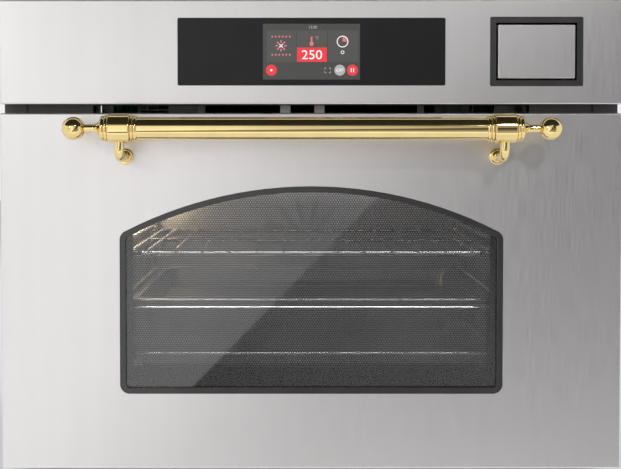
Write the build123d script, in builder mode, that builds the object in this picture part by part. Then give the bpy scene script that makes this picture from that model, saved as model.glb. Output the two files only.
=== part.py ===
from build123d import *
import math
import os

# Built-in combination oven: microwave, hot air, grill and steam in one cavity, with a
# drop-down glass door and a water tank that slides out of the control panel.
# X runs to the right, Y into the cabinet, Z up. The origin lies on the cabinet shelf,
# at the middle of the oven, in the plane of the cabinet's front edges.

# Steel front
front_width = 595.0
front_proud = 22.0
door_bottom = 5.0
door_height = 342.0
slot_height = 8.5
panel_height = 99.5
skin_sheet = 1.2
skin_depth = 18.0
skin_lip = 12.0
skin_bend = 1.5

# Arched window in the door
window_width = 367.2
window_foot = 72.7
window_side = 153.5
window_rise = 45.8
window_corner = 9.0
trim_width = 5.5
trim_recess = 0.3
trim_flange = 6.0
trim_flange_thickness = 2.0
trim_fit = 0.15
glass_thickness = 4.0

# Handle: a round bar between two collars, each with a turned finial and a curled foot
handle_standoff = 48.0
handle_drop = 15.0
collar_pitch = 355.0
bar_radius = 10.4
bar_fit = 0.1
bar_end_room = 0.3
collar_radius = 13.4
collar_length = 20.4
bead_width = 3.3
inner_bead_radii = (12.8, 12.0)
outer_bead_radii = (12.5, 11.8)
bead_wall = 0.8
outer_groove_radius = 10.9
collar_edge = 1.2
flare_radius = 8.8
neck_radius = 3.7
neck_start = 24.5
ball_radius = 10.8
ball_offset = 42.0
stem_radius = 4.5
stem_bend = 10.0
stem_drop = 26.5
rosette_radius = 7.8
rosette_thickness = 4.0
rosette_edge = 1.5
stem_grip = 3.0

# Case of thin steel sheet that stands in the cabinet
case_width = 556.0
case_height = 443.0
case_depth = 520.0
case_sheet = 1.0
case_flange = 15.0
frame_setback = 16.0
rear_cover_width = 250.0
rear_cover_height = 190.0
rear_cover_floor = 100.0
rear_cover_depth = 25.0
rear_cover_taper = 25.0
flange_reach = 292.0
flange_floor = 40.0
flange_height = 290.0
cabinet_screw_radius = 2.5
cabinet_screw_pitch = 250.0
cabinet_screw_span = 569.0

# Louvres and slots in the case
louvre_length = 80.0
louvre_width = 5.0
louvre_pitch = 12.0
louvre_drop = 50.0
side_louvre_setback = 90.0
side_louvre_count = 5
rear_louvre_rows = 3
rear_louvre_columns = 4
rear_louvre_column_pitch = 110.0
case_slot_width = 6.0
case_slot_pitch = 14.0
base_slot_length = 70.0
base_slot_column_pitch = 120.0
base_slot_row_pitch = 40.0
top_slot_length = 90.0
top_slot_count = 6
cover_slot_length = 120.0
cover_slot_count = 7
rear_cover_corner = 12.0
motor_passage_radius = 30.0
cable_passage_width = 56.0
cable_passage_height = 30.0
cable_passage_corner = 8.0

# Cavity
cavity_width = 400.0
cavity_height = 225.0
cavity_depth = 400.0
cavity_floor = 82.0
cavity_corner = 15.0
liner_sheet = 1.0
liner_flange = 15.0
wool_thickness = 20.0
wool_gap = 0.4
gasket_width = 8.0
gasket_offset = 5.0
gasket_thickness = 2.7

# Pressed pan on the back of the door, with the microwave choke around its window
pan_sheet = 1.2
pan_side_margin = 9.5
pan_foot = 20.0
pan_top_margin = 6.0
pan_seat = 3.0
choke_overlap = 20.0
choke_corner = 20.0
view_side = 12.0
view_foot = 2.0
view_head = 19.0
view_corner = 10.0
screen_sheet = 0.6
screen_lap = 7.0
screen_wall = 1.2
inner_glass_lap = 8.0
glass_gap = 0.3
pan_corner = 6.0
pan_edge = 0.8

# Door hinges
hinge_y = -8.0
hinge_z = 12.0
hinge_x = 248.0
hinge_arm = 3.0
hinge_arm_width = 8.0
hinge_arm_radius = 6.0
hinge_arm_top = 110.0
hinge_side_gap = 0.5
hinge_plate = 2.0
hinge_nose_radius = 5.3
hinge_pin_radius = 3.0
hinge_pin_fit = 0.05
hinge_housing_width = 16.0
hinge_housing_length = 133.0
hinge_housing_height = 39.0
hinge_slot_gap = 1.2
hinge_plate_inset = 10.0
hinge_plate_drop = 5.0
hinge_plate_corner = 3.0
spring_slot_inset = 20.0
spring_slot_low = 26.0
spring_slot_height = 7.0

# Door interlock: a tongue on each side of the door that enters a switch block
tongue_x = 235.0
tongue_z = 316.0
tongue_width = 4.0
tongue_height = 6.0
tongue_length = 32.0
tongue_room = 3.5
tongue_notch_start = 8.0
tongue_notch_end = 14.0
tongue_notch_depth = 2.0
tongue_nose = 3.0
tongue_base_width = 14.0
tongue_base_height = 18.0
tongue_base_thickness = 1.5
switch_wall = 5.0
switch_height = 44.0
switch_depth = 34.0
switch_drop = 8.0
switch_end_room = 8.0

# Display glass and the panels behind it
display_width = 254.8
display_height = 63.8
display_top_margin = 17.6
display_corner = 1.5
display_thickness = 3.0
display_fit = 0.3
display_ledge = 2.0
screen_width = 92.5
screen_height = 53.0
screen_frame_side = 7.0
screen_frame_edge = 2.4
board_end_inset = 4.0
board_overhang = 8.0
board_chips = ((-80.0, 0.0, 24.0, 20.0), (70.0, -10.0, 24.0, 20.0), (95.0, 18.0, 30.0, 12.0))
chip_height = 6.0
carrier_left = -262.0
carrier_right = 160.0
carrier_margin = 5.0
carrier_plate = 3.0
carrier_rim = 9.0
carrier_wall = 2.0
carrier_corner = 4.0
carrier_leg_radius = 5.0
carrier_leg_inset = 14.0
carrier_boss_radius = 2.5
carrier_boss_side_inset = 5.0
carrier_boss_edge_inset = 3.0
board_thickness = 1.6
board_gap = 4.0

# Water tank, its bezel in the control panel and its bay
tank_x = 214.6
bezel_width = 88.2
bezel_height = 65.4
bezel_top_margin = 16.6
bezel_corner = 1.5
bezel_mouth_width = 77.1
bezel_mouth_height = 54.8
bezel_flange = 4.0
bezel_wall = 2.0
tank_front_width = 73.5
tank_front_height = 51.2
tank_front_thickness = 8.0
tank_front_wall = 1.5
tank_front_corner = 1.0
tank_front_edge = 0.8
tank_width = 70.0
tank_height = 46.0
tank_length = 270.0
tank_wall = 2.0
tank_corner = 6.0
lid_thickness = 2.0
tank_side_gap = 1.0
tank_slide_gap = 0.3
tank_push = 3.0
bay_wall = 1.5
bay_head_gap = 1.5
spigot_radius = 5.0
spigot_bore = 3.0
spigot_length = 14.0
spigot_fit = 0.6
spigot_rise = 12.0
spigot_end_room = 2.0
hose_stub = 8.0
mouth_length = 40.0
mouth_width = 26.0
mouth_setback = 45.0
mouth_corner = 5.0
bay_end_room = 3.0
bay_foot_inset = 35.0
bay_foot_half_width = 34.0
bay_foot_neck_half_width = 22.0
bay_foot_hole = 10.0
bay_foot_sheet = 3.0
latch_x_offset = 22.0
latch_rise = 9.0
latch_width = 20.0
latch_height = 22.0
latch_length = 18.0
latch_plunger_radius = 3.0

# Cooling blower over the cavity: a cross-flow rotor in a scroll that blows out of the slot
blower_left = -108.0
blower_right = 122.0
blower_y = 140.0
blower_z = 374.0
rotor_radius = 24.0
rotor_blade_count = 18
rotor_blade_depth = 7.0
rotor_blade_thickness = 1.2
rotor_blade_tilt = 32.0
rotor_blade_inset = 0.8
rotor_disc = 2.0
rotor_end_gap = 6.0
rotor_shaft_radius = 3.0
scroll_gap = 7.0
scroll_sheet = 1.2
scroll_turn = 155.0
throat_setback = 38.0
throat_lip_length = 8.0
throat_lip_rise = 12.0
throat_bend = 5.0
plate_shoulder = 20.0
plate_foot = 60.0
blower_plate = 1.5
blower_motor_length = 42.0
blower_motor_radius = 20.0
blower_motor_foot_half_width = 14.0
duct_floor = 345.0
duct_roof = 357.0
vent_width = 422.0
vent_margin = 0.5
grille_end_margin = 1.0
grille_lap = 3.5
grille_plate = 2.0
grille_wall = 1.5
grille_ribs = ((-105.8, 6.4), (-25.0, 10.0), (8.0, 10.0), (105.8, 6.4))
front_gap = 0.3

# Shelf under the electronics and what stands on it
shelf_height = 330.0
shelf_fold_margin = 15.0
shelf_fold_length = 112.0
shelf_fold_height = 12.0
hose_room = 4.0
magnetron_x = -150.0
port_y = 215.0
port_radius = 42.0
port_cover_radius = 55.0
port_cover_thickness = 1.2
guide_left = -190.0
guide_right = 45.0
guide_width = 96.0
guide_height = 19.7
guide_sheet = 1.2
guide_gap = 0.3
guide_corner = 4.0
antenna_hole_radius = 17.0
shaft_hole_fit = 1.0
cover_stud_radius = 3.0
cover_stud_length = 2.0
stirrer_shaft_radius = 3.0
stirrer_blade_radius = 38.0
stirrer_blade_count = 3
stirrer_blade_width = 14.0
stirrer_blade_sheet = 1.0
stirrer_fin_height = 8.0
stirrer_fin_inset = 4.0
stirrer_hub_radius = 8.0
stirrer_rise = 4.0
stirrer_shaft_grip = 8.0
stirrer_motor_radius = 24.0
stirrer_motor_height = 18.0
stirrer_motor_room = 2.0
motor_chamfer = 2.0
shaft_fit = 0.04
shaft_end_room = 1.0

# Magnetron: tube with cooling fins in a yoke, filter box on top, antenna in the waveguide
magnetron_width = 78.0
magnetron_length = 90.0
magnetron_height = 58.0
magnetron_sheet = 2.0
magnetron_room = 6.0
antenna_radius = 9.0
antenna_length = 14.0
antenna_tip = 4.0
anode_radius = 20.0
yoke_length = 60.0
cooling_fin_count = 6
cooling_fin_sheet = 0.8
cooling_fin_pitch = 7.0
cooling_fin_start = 12.0
cooling_fin_inset = 3.0
filter_width = 60.0
filter_length = 70.0
filter_height = 24.0

# Inverter supply: board on four feet, transformer, ribbed heat sink and capacitor
inverter_x = -195.0
inverter_y = 365.0
inverter_side = 130.0
inverter_foot_inset = 7.0
inverter_foot_radius = 3.0
inverter_foot_height = 8.0
transformer_place = (30.0, -20.0)
transformer_size = (52.0, 62.0)
transformer_height = 44.0
heat_sink_offset = -36.0
heat_sink_plate = 4.0
heat_sink_length = 110.0
heat_sink_height = 34.0
heat_sink_fin_count = 9
heat_sink_fin_pitch = 12.0
heat_sink_fin_depth = 20.0
heat_sink_fin_sheet = 2.0
capacitor_place = (30.0, 42.0)
capacitor_radius = 15.0
capacitor_height = 36.0

# Hot air: fan, ring heater and motor behind a baffle on the back wall
fan_z = 194.5
fan_radius = 75.0
fan_blade_count = 12
fan_blade_depth = 18.0
fan_blade_thickness = 1.2
fan_shaft_radius = 4.0
fan_shaft_nose = 12.0
fan_shaft_grip = 32.0
fan_disc_sheet = 1.5
fan_blade_length = 31.5
fan_blade_inset = 18.0
fan_blade_tilt = 28.0
fan_hub_radius = 10.0
fan_hub_length = 8.0
shaft_room = 2.0
fan_gap = 5.0
baffle_depth = 30.0
baffle_side_margin = 10.0
baffle_edge_margin = 4.0
baffle_sheet = 1.0
baffle_corner = 8.0
intake_hub_radius = 8.0
intake_slot_count = 14
intake_slot_circle = 38.0
intake_slot_length = 36.0
intake_slot_width = 6.0
outlet_count = 4
outlet_pitch = 50.0
outlet_width = 14.0
outlet_height = 40.0
ring_radius = 92.0
heater_radius = 3.25
heater_hole_fit = 0.3
ring_setback = 15.0
ring_tail_x = 12.0
motor_leg_circle = 36.0
motor_leg_radius = 3.5
motor_leg_count = 3
motor_screw_radius = 2.0
motor_radius = 36.0
motor_flange_radius = 46.0
motor_flange_sheet = 2.0
motor_gap = 0.6
motor_edge = 5.0
motor_length = 59.0

# Grill heater under the ceiling
grill_drop = 18.0
grill_half_width = 155.0
grill_front = 60.0
grill_back = 370.0
grill_inner_half = 90.0
grill_inner_front = 130.0
grill_tail_x = 30.0
grill_bend = 14.0
grill_tail_rise = 11.0

# Side racks, wire shelf and trays
rack_rod = 2.5
rack_x = 188.6
rack_rail_x = 184.5
rail_rod = 2.2
rail_bend = 6.0
rail_front = 30.0
rail_back = 378.0
rack_post_front = 60.0
rack_post_back = 350.0
rack_foot = 8.0
rack_top = 188.0
peg_foot_margin = 1.0
peg_head_margin = 6.0
first_rail = 15.1
rail_pitch = 53.6
upper_rail_rise = 16.0
support_gap = 0.3
shelf_rod = 2.5
shelf_wire = 1.5
shelf_half_width = 182.0
shelf_front = 30.0
shelf_depth = 350.0
shelf_wire_pitch = 26.8
shelf_wire_count = 13
shelf_corner = 14.0
shelf_weld = 0.4
shelf_cross_rod = 2.1
shelf_cross_rise = 0.6
tray_half_width = 184.0
tray_front = 34.0
tray_length = 350.0
tray_depth = 24.0
tray_rim_width = 9.0
tray_rim_height = 9.0
tray_sheet = 0.8
tray_corner = 22.0
tray_taper = 14.0

# Lamp, steam boiler and pump
lamp_y = 300.0
lamp_z = 250.0
lamp_window = 50.0
lamp_body_depth = 38.0
lamp_body_inset = 2.0
lamp_wall = 2.0
lamp_back_wall = 6.0
lamp_taper = 6.0
lamp_flange = 5.0
lamp_flange_sheet = 1.5
lamp_bulb_radius = 9.0
lamp_bulb_tip = 5.0
lamp_wool_room = 2.0
lamp_glass_lap = 3.0
lamp_glass_thickness = 2.5
lamp_glass_corner = 5.0
boiler_x = 250.0
boiler_y = 340.0
boiler_radius = 20.0
boiler_floor = 120.0
boiler_height = 140.0
boiler_edge = 4.0
boiler_stub = 10.0
boiler_clamp_starts = (20.0, 84.0)
boiler_clamp_height = 16.0
boiler_clamp_half_width = 10.0
steam_z = 230.0
steam_pipe_radius = 5.0
steam_bore = 3.0
steam_bore_depth = 15.0
pump_width = 40.0
pump_length = 50.0
pump_height = 38.0
pump_corner = 5.0
pump_edge = 3.0
pump_outlet = 4.0
hose_radius = 4.0
feed_loop = 21.0
feed_bend = 11.0
steam_bend = 8.0

# Mains connection at the back
gland_x = -230.0
gland_z = 110.0
gland_radius = 10.0
gland_bore = 5.5
gland_length = 14.0
gland_collar = 4.0
gland_collar_thickness = 3.0
gland_reach = 4.0
gland_edge = 2.0
terminal_rise = 50.0
terminal_width = 46.0
terminal_height = 26.0
terminal_depth = 22.0
terminal_corner = 3.0
terminal_count = 3
terminal_pitch = 13.0
terminal_pocket_width = 9.0
terminal_pocket_height = 18.0
terminal_pocket_depth = 8.0

# Places that follow from the sizes above
half_front = front_width / 2
face_y = -front_proud
skin_inner_y = face_y + skin_sheet
skin_back_y = face_y + skin_depth
door_top = door_bottom + door_height
panel_bottom = door_top + slot_height
panel_top = panel_bottom + panel_height
case_half = case_width / 2
case_inner = case_half - case_sheet
frame_back = frame_setback + case_sheet
cavity_half = cavity_width / 2
cavity_ceiling = cavity_floor + cavity_height
cavity_back = frame_back + cavity_depth
shelf_top = shelf_height + case_sheet

os.makedirs("parts", exist_ok=True)


def front_plane(y):
    """A plane at depth y that faces the room; a sketch on it has X across and Z up."""
    return Plane.XZ.offset(-y)


def rear_plane(y):
    """A plane at depth y that faces the wall."""
    return Plane(origin=(0, y, 0), x_dir=(-1, 0, 0), z_dir=(0, 1, 0))


def side_plane(x):
    """A plane at x that faces right; a sketch on it has Y across and Z up."""
    return Plane.YZ.offset(x)


def level_plane(z):
    """A level plane at height z; a sketch on it has X across and Y up."""
    return Plane.XY.offset(z)


def span(left, right, low, high, corner=0.0, mode=Mode.ADD):
    """A rectangle between two corners, in the sketch that is open."""
    with Locations(((left + right) / 2, (low + high) / 2)):
        if corner > 0:
            RectangleRounded(abs(right - left), abs(high - low), corner, mode=mode)
        else:
            Rectangle(abs(right - left), abs(high - low), mode=mode)


def disc(across, up, radius, mode=Mode.ADD):
    """A circle about a point, in the sketch that is open."""
    with Locations((across, up)):
        Circle(radius, mode=mode)


def bead(start, width, groove, crest):
    """A turned bead in the open line: an arc from groove to crest and back; returns it."""
    middle = (start + width / 2, crest)
    return ThreePointArc((start, groove), middle, (start + width, groove))


def window_outline(grow, y):
    """The arched outline of the door window, grown outward all round, at depth y."""
    half = window_width / 2 + grow
    foot = door_bottom + window_foot - grow
    radius = arch_radius + grow
    shoulder = arch_centre + math.sqrt(radius**2 - half**2)
    with BuildSketch(front_plane(y)) as outline:
        with BuildLine():
            Polyline((-half, shoulder), (-half, foot), (half, foot), (half, shoulder))
            ThreePointArc((half, shoulder), (0, arch_centre + radius), (-half, shoulder))
        make_face()
        fillet(outline.vertices(), window_corner + grow)
    return outline.sketch


def folded_front(low, high):
    """A steel front in one sheet: face, folded edges and lips turned in at the back."""
    with BuildPart() as front:
        with BuildSketch(front_plane(face_y)):
            span(-half_front, half_front, low, high)
        extrude(amount=-skin_depth)
        rounded = front.edges().filter_by(Axis.Y) + front.faces().sort_by(Axis.Y)[0].edges()
        fillet(rounded, skin_bend)
        with BuildSketch(front_plane(skin_inner_y)):
            inner = half_front - skin_sheet
            span(-inner, inner, low + skin_sheet, high - skin_sheet)
        extrude(amount=-(skin_depth - 2 * skin_sheet), mode=Mode.SUBTRACT)
        with BuildSketch(front_plane(skin_back_y)):
            inner = half_front - skin_lip
            span(-inner, inner, low + skin_lip, high - skin_lip)
        extrude(amount=skin_sheet, mode=Mode.SUBTRACT)
    return front.part


def ring_outline(grow, y, corner):
    """A rectangle with round corners that follows the cavity's mouth, grown all round."""
    half = cavity_half + grow
    with BuildSketch(front_plane(y)) as outline:
        span(-half, half, cavity_floor - grow, cavity_ceiling + grow, corner)
    return outline.sketch


def view_outline(grow, y):
    """The inner viewing opening of the door, grown all round, at depth y."""
    half = cavity_half - view_side + grow
    low = cavity_floor + view_foot - grow
    high = cavity_ceiling - view_head + grow
    with BuildSketch(front_plane(y)) as outline:
        span(-half, half, low, high, view_corner + grow)
    return outline.sketch


# The arch is one circle through both shoulders and the apex
arch_radius = ((window_width / 2) ** 2 + window_rise**2) / (2 * window_rise)
arch_centre = door_bottom + window_foot + window_side + window_rise - arch_radius

# Case

with BuildPart() as base_pan:
    with BuildSketch(level_plane(0)):
        span(-case_inner, case_inner, 0, case_depth)
    extrude(amount=case_sheet)
    with BuildSketch(front_plane(frame_back)):
        span(-case_inner, -case_inner + case_sheet, 0, case_flange)
        span(case_inner - case_sheet, case_inner, 0, case_flange)
    extrude(amount=-(case_depth - frame_back))
    with BuildSketch(level_plane(0)):
        with Locations((0, case_depth / 2)):
            with GridLocations(base_slot_column_pitch, base_slot_row_pitch, 3, 3):
                SlotOverall(base_slot_length, case_slot_width)
    extrude(amount=case_sheet, mode=Mode.SUBTRACT)
base_pan.part.label = "base_pan"
export_step(base_pan.part, "parts/base_pan.step")

for side, name in ((-1, "side_panel_left"), (1, "side_panel_right")):
    with BuildPart() as side_panel:
        with BuildSketch(side_plane(side * case_inner)):
            span(0, case_depth, 0, case_height)
            with Locations((case_depth - side_louvre_setback, case_height - louvre_drop)):
                with GridLocations(0, louvre_pitch, 1, side_louvre_count):
                    SlotOverall(louvre_length, louvre_width, mode=Mode.SUBTRACT)
        extrude(amount=side * case_sheet)
    side_panel.part.label = name
    export_step(side_panel.part, f"parts/{name}.step")

with BuildPart() as top_cover:
    with BuildSketch(front_plane(frame_back)):
        span(-case_inner, case_inner, case_height - case_sheet, case_height)
        for side in (-1, 1):
            edge = side * case_inner
            span(edge, edge - side * case_sheet, case_height - case_flange, case_height)
    extrude(amount=-(case_depth - frame_back))
    with BuildSketch(level_plane(case_height - case_sheet)):
        with Locations((magnetron_x, port_y)):
            with GridLocations(0, case_slot_pitch, 1, top_slot_count):
                SlotOverall(top_slot_length, case_slot_width)
    extrude(amount=case_sheet, mode=Mode.SUBTRACT)
top_cover.part.label = "top_cover"
export_step(top_cover.part, "parts/top_cover.step")

rear_inner = case_inner - case_sheet
rear_cover_top = rear_cover_floor + rear_cover_height
with BuildPart() as rear_panel:
    with BuildSketch(front_plane(case_depth - case_sheet)):
        span(-rear_inner, rear_inner, case_sheet, case_height - case_sheet)
        disc(0, fan_z, motor_passage_radius, Mode.SUBTRACT)
        disc(gland_x, gland_z, gland_radius, Mode.SUBTRACT)
        with Locations((0, case_height - louvre_drop)):
            columns, rows = rear_louvre_columns, rear_louvre_rows
            with GridLocations(rear_louvre_column_pitch, louvre_pitch, columns, rows):
                SlotOverall(louvre_length, louvre_width, mode=Mode.SUBTRACT)
    extrude(amount=-case_sheet)
rear_panel.part.label = "rear_panel"
export_step(rear_panel.part, "parts/rear_panel.step")

with BuildPart() as rear_cover:
    with BuildSketch(rear_plane(case_depth)):
        half = rear_cover_width / 2
        span(-half, half, rear_cover_floor, rear_cover_top, rear_cover_corner)
    extrude(amount=rear_cover_depth, taper=rear_cover_taper)
    with BuildSketch(rear_plane(case_depth)):
        half = rear_cover_width / 2 - case_sheet
        low = rear_cover_floor + case_sheet
        high = rear_cover_top - case_sheet
        span(-half, half, low, high, rear_cover_corner - case_sheet)
    extrude(amount=rear_cover_depth - case_sheet, taper=rear_cover_taper, mode=Mode.SUBTRACT)
    with BuildSketch(rear_plane(case_depth + rear_cover_depth - 2 * case_sheet)):
        with Locations((0, rear_cover_floor + rear_cover_height / 2)):
            with GridLocations(0, case_slot_pitch, 1, cover_slot_count):
                SlotOverall(cover_slot_length, case_slot_width)
    extrude(amount=3 * case_sheet, mode=Mode.SUBTRACT)
rear_cover.part.label = "rear_cover"
export_step(rear_cover.part, "parts/rear_cover.step")

# Front frame, with the mouth of the cavity and the passages for what goes through it
vent_half = vent_width / 2
vent_floor = door_top + vent_margin
vent_roof = panel_bottom - vent_margin
bezel_z = panel_top - bezel_top_margin - bezel_height / 2
passage_half_width = bezel_mouth_width / 2 + bezel_wall + front_gap
passage_half_height = bezel_mouth_height / 2 + bezel_wall + front_gap
display_z = panel_top - display_top_margin - display_height / 2
nose_half = hinge_arm / 2 + hinge_side_gap + hinge_plate
slot_half = nose_half + hinge_slot_gap
with BuildPart() as front_frame:
    with BuildSketch(front_plane(frame_setback)):
        span(-case_inner, case_inner, case_sheet, case_height)
        span(-cavity_half, cavity_half, cavity_floor, cavity_ceiling, cavity_corner, Mode.SUBTRACT)
        span(-vent_half, vent_half, vent_floor, vent_roof, 0, Mode.SUBTRACT)
        with Locations((tank_x, bezel_z)):
            Rectangle(2 * passage_half_width, 2 * passage_half_height, mode=Mode.SUBTRACT)
        with Locations((0, display_z)):
            RectangleRounded(
                cable_passage_width,
                cable_passage_height,
                cable_passage_corner,
                mode=Mode.SUBTRACT,
            )
        for side in (-1, 1):
            x = side * hinge_x
            low = hinge_z - hinge_nose_radius - hinge_slot_gap
            high = hinge_z + hinge_nose_radius + hinge_slot_gap
            span(x - slot_half, x + slot_half, low, high, 0, Mode.SUBTRACT)
            with Locations((side * tongue_x, tongue_z)):
                Rectangle(
                    tongue_width + 2 * tongue_room,
                    tongue_height + 2 * tongue_room,
                    mode=Mode.SUBTRACT,
                )
    extrude(amount=-case_sheet)
    for side in (-1, 1):
        with BuildSketch(level_plane(flange_floor)):
            edge = side * case_inner
            span(edge, edge - side * case_sheet, -case_sheet, frame_back)
            span(edge - side * case_sheet, side * flange_reach, -case_sheet, 0)
        extrude(amount=flange_height)
    with BuildSketch(front_plane(-case_sheet)):
        with Locations((0, flange_floor + flange_height / 2)):
            with GridLocations(cabinet_screw_span, cabinet_screw_pitch, 2, 2):
                Circle(cabinet_screw_radius)
    extrude(amount=-case_sheet, mode=Mode.SUBTRACT)
front_frame.part.label = "front_frame"
export_step(front_frame.part, "parts/front_frame.step")

# Cavity

with BuildPart() as door_gasket:
    gasket_front = frame_setback - gasket_thickness
    outer = gasket_offset + gasket_width
    extrude(ring_outline(outer, gasket_front, cavity_corner + outer), amount=-gasket_thickness)
    extrude(
        ring_outline(gasket_offset, gasket_front, cavity_corner + gasket_offset),
        amount=-gasket_thickness,
        mode=Mode.SUBTRACT,
    )
door_gasket.part.label = "door_gasket"
export_step(door_gasket.part, "parts/door_gasket.step")

liner_half = cavity_half + liner_sheet
heater_hole = heater_radius + heater_hole_fit
ring_low = fan_z - math.sqrt(ring_radius**2 - ring_tail_x**2)
with BuildPart() as cavity_liner:
    flange = ring_outline(liner_sheet + liner_flange, frame_back, cavity_corner + liner_flange)
    extrude(flange, amount=-liner_sheet)
    shell = ring_outline(liner_sheet, frame_back, cavity_corner + liner_sheet)
    extrude(shell, amount=-(cavity_depth + liner_sheet))
    extrude(
        ring_outline(0, frame_back, cavity_corner), amount=-cavity_depth, mode=Mode.SUBTRACT
    )
    with BuildSketch(front_plane(cavity_back)):
        disc(0, fan_z, fan_shaft_radius + shaft_room)
        with Locations((0, fan_z)):
            with PolarLocations(motor_leg_circle, motor_leg_count, 90):
                Circle(motor_screw_radius)
        for side in (-1, 1):
            disc(side * ring_tail_x, ring_low, heater_hole)
    extrude(amount=-liner_sheet, mode=Mode.SUBTRACT)
    with BuildSketch(level_plane(cavity_ceiling)):
        disc(0, port_y, port_radius)
        for side in (-1, 1):
            disc(side * grill_tail_x, grill_back, heater_hole)
    extrude(amount=liner_sheet, mode=Mode.SUBTRACT)
    with BuildSketch(side_plane(-liner_half)):
        with Locations((lamp_y, lamp_z)):
            Rectangle(lamp_window, lamp_window)
    extrude(amount=liner_sheet, mode=Mode.SUBTRACT)
    with BuildSketch(side_plane(cavity_half)):
        disc(boiler_y, steam_z, steam_pipe_radius + heater_hole_fit)
    extrude(amount=liner_sheet, mode=Mode.SUBTRACT)
cavity_liner.part.label = "cavity_liner"
export_step(cavity_liner.part, "parts/cavity_liner.step")

# Mineral wool round the cavity, cut away for what passes through it
wool_front = frame_back + liner_sheet + wool_gap
wool_inner = liner_sheet + wool_gap
wool_back = cavity_back + liner_sheet + wool_gap + wool_thickness
with BuildPart() as insulation:
    outer = wool_inner + wool_thickness
    extrude(ring_outline(outer, wool_front, outer + cavity_corner), amount=-(wool_back - wool_front))
    extrude(
        ring_outline(wool_inner, wool_front, wool_inner + cavity_corner),
        amount=-(cavity_back + wool_inner - wool_front),
        mode=Mode.SUBTRACT,
    )
    with BuildSketch(front_plane(cavity_back)):
        disc(0, fan_z, fan_shaft_radius + 2 * shaft_room)
        with Locations((0, fan_z)):
            with PolarLocations(motor_leg_circle, motor_leg_count, 90):
                Circle(motor_leg_radius + wool_gap)
        for side in (-1, 1):
            disc(side * ring_tail_x, ring_low, heater_radius + wool_gap)
    extrude(amount=-(wool_thickness + 2 * wool_inner), mode=Mode.SUBTRACT)
    with BuildSketch(level_plane(cavity_ceiling)):
        left = guide_left - wool_gap
        right = guide_right + wool_gap
        half = guide_width / 2 + wool_gap
        span(left, right, port_y - half, port_y + half)
        for side in (-1, 1):
            disc(side * grill_tail_x, grill_back, heater_radius + wool_gap)
    extrude(amount=wool_thickness + 2 * wool_inner, mode=Mode.SUBTRACT)
    with BuildSketch(side_plane(-liner_half)):
        with Locations((lamp_y, lamp_z)):
            edge = lamp_window + 2 * (lamp_flange + lamp_wool_room)
            Rectangle(edge, edge)
    extrude(amount=-(wool_thickness + 2 * wool_gap), mode=Mode.SUBTRACT)
    with BuildSketch(side_plane(liner_half)):
        disc(boiler_y, steam_z, steam_pipe_radius + wool_gap)
    extrude(amount=wool_thickness + 2 * wool_gap, mode=Mode.SUBTRACT)
insulation.part.label = "insulation"
export_step(insulation.part, "parts/insulation.step")

# Baffle over the fan: a pressed tray with an intake in the middle and outlets at its sides
baffle_front = cavity_back - baffle_depth
baffle_half = cavity_half - baffle_side_margin
baffle_low = cavity_floor + baffle_edge_margin
baffle_high = cavity_ceiling - baffle_edge_margin
with BuildPart() as fan_baffle:
    with BuildSketch(front_plane(baffle_front)):
        span(-baffle_half, baffle_half, baffle_low, baffle_high, baffle_corner)
    extrude(amount=-baffle_depth)
    offset(amount=-baffle_sheet, openings=fan_baffle.faces().sort_by(Axis.Y)[-1])
    with BuildSketch(front_plane(baffle_front)):
        with Locations((0, fan_z)):
            Circle(intake_hub_radius)
            with PolarLocations(intake_slot_circle, intake_slot_count):
                SlotOverall(intake_slot_length, intake_slot_width)
    extrude(amount=-baffle_sheet, mode=Mode.SUBTRACT)
    with BuildSketch(side_plane(-baffle_half)):
        with Locations((cavity_back - baffle_depth / 2, fan_z)):
            with GridLocations(0, outlet_pitch, 1, outlet_count):
                Rectangle(outlet_width, outlet_height)
    extrude(amount=2 * baffle_half, mode=Mode.SUBTRACT)
fan_baffle.part.label = "fan_baffle"
export_step(fan_baffle.part, "parts/fan_baffle.step")

# Hot air fan: a back disc with bent blades, a hub and the shaft that runs into the motor
fan_front = baffle_front + fan_gap
motor_face = wool_back + motor_gap
shaft_end = motor_face + fan_shaft_grip
with BuildPart() as convection_fan:
    with BuildSketch(front_plane(fan_front + fan_blade_depth)):
        disc(0, fan_z, fan_radius)
    extrude(amount=-fan_disc_sheet)
    with BuildSketch(front_plane(fan_front)):
        with Locations((0, fan_z)):
            with PolarLocations(fan_radius - fan_blade_inset, fan_blade_count):
                with Locations(Location((0, 0, 0), (0, 0, fan_blade_tilt))):
                    Rectangle(fan_blade_length, fan_blade_thickness)
    extrude(amount=-fan_blade_depth)
    with BuildSketch(front_plane(fan_front + fan_blade_depth - fan_hub_length)):
        disc(0, fan_z, fan_hub_radius)
    extrude(amount=-fan_hub_length)
    shaft_start = fan_front + fan_blade_depth - fan_shaft_nose
    with BuildSketch(front_plane(shaft_start)):
        disc(0, fan_z, fan_shaft_radius)
    extrude(amount=-(shaft_end - shaft_start))
convection_fan.part.label = "convection_fan"
export_step(convection_fan.part, "parts/convection_fan.step")

# Its motor stands on three legs on the cavity's back wall, clear of the wool
with BuildPart() as convection_motor:
    with BuildSketch(front_plane(cavity_back + liner_sheet)):
        with Locations((0, fan_z)):
            with PolarLocations(motor_leg_circle, motor_leg_count, 90):
                Circle(motor_leg_radius)
    extrude(amount=-(motor_face - cavity_back - liner_sheet))
    with BuildSketch(front_plane(motor_face)):
        disc(0, fan_z, motor_flange_radius)
    extrude(amount=-motor_flange_sheet)
    with BuildSketch(front_plane(motor_face + motor_flange_sheet)):
        disc(0, fan_z, motor_radius)
    extrude(amount=-motor_length)
    chamfer(convection_motor.edges().sort_by(Axis.Y)[-1], motor_edge)
    with BuildSketch(front_plane(motor_face)):
        disc(0, fan_z, fan_shaft_radius + shaft_fit)
    extrude(amount=-(shaft_end - motor_face + shaft_end_room), mode=Mode.SUBTRACT)
convection_motor.part.label = "convection_motor"
export_step(convection_motor.part, "parts/convection_motor.step")

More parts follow.
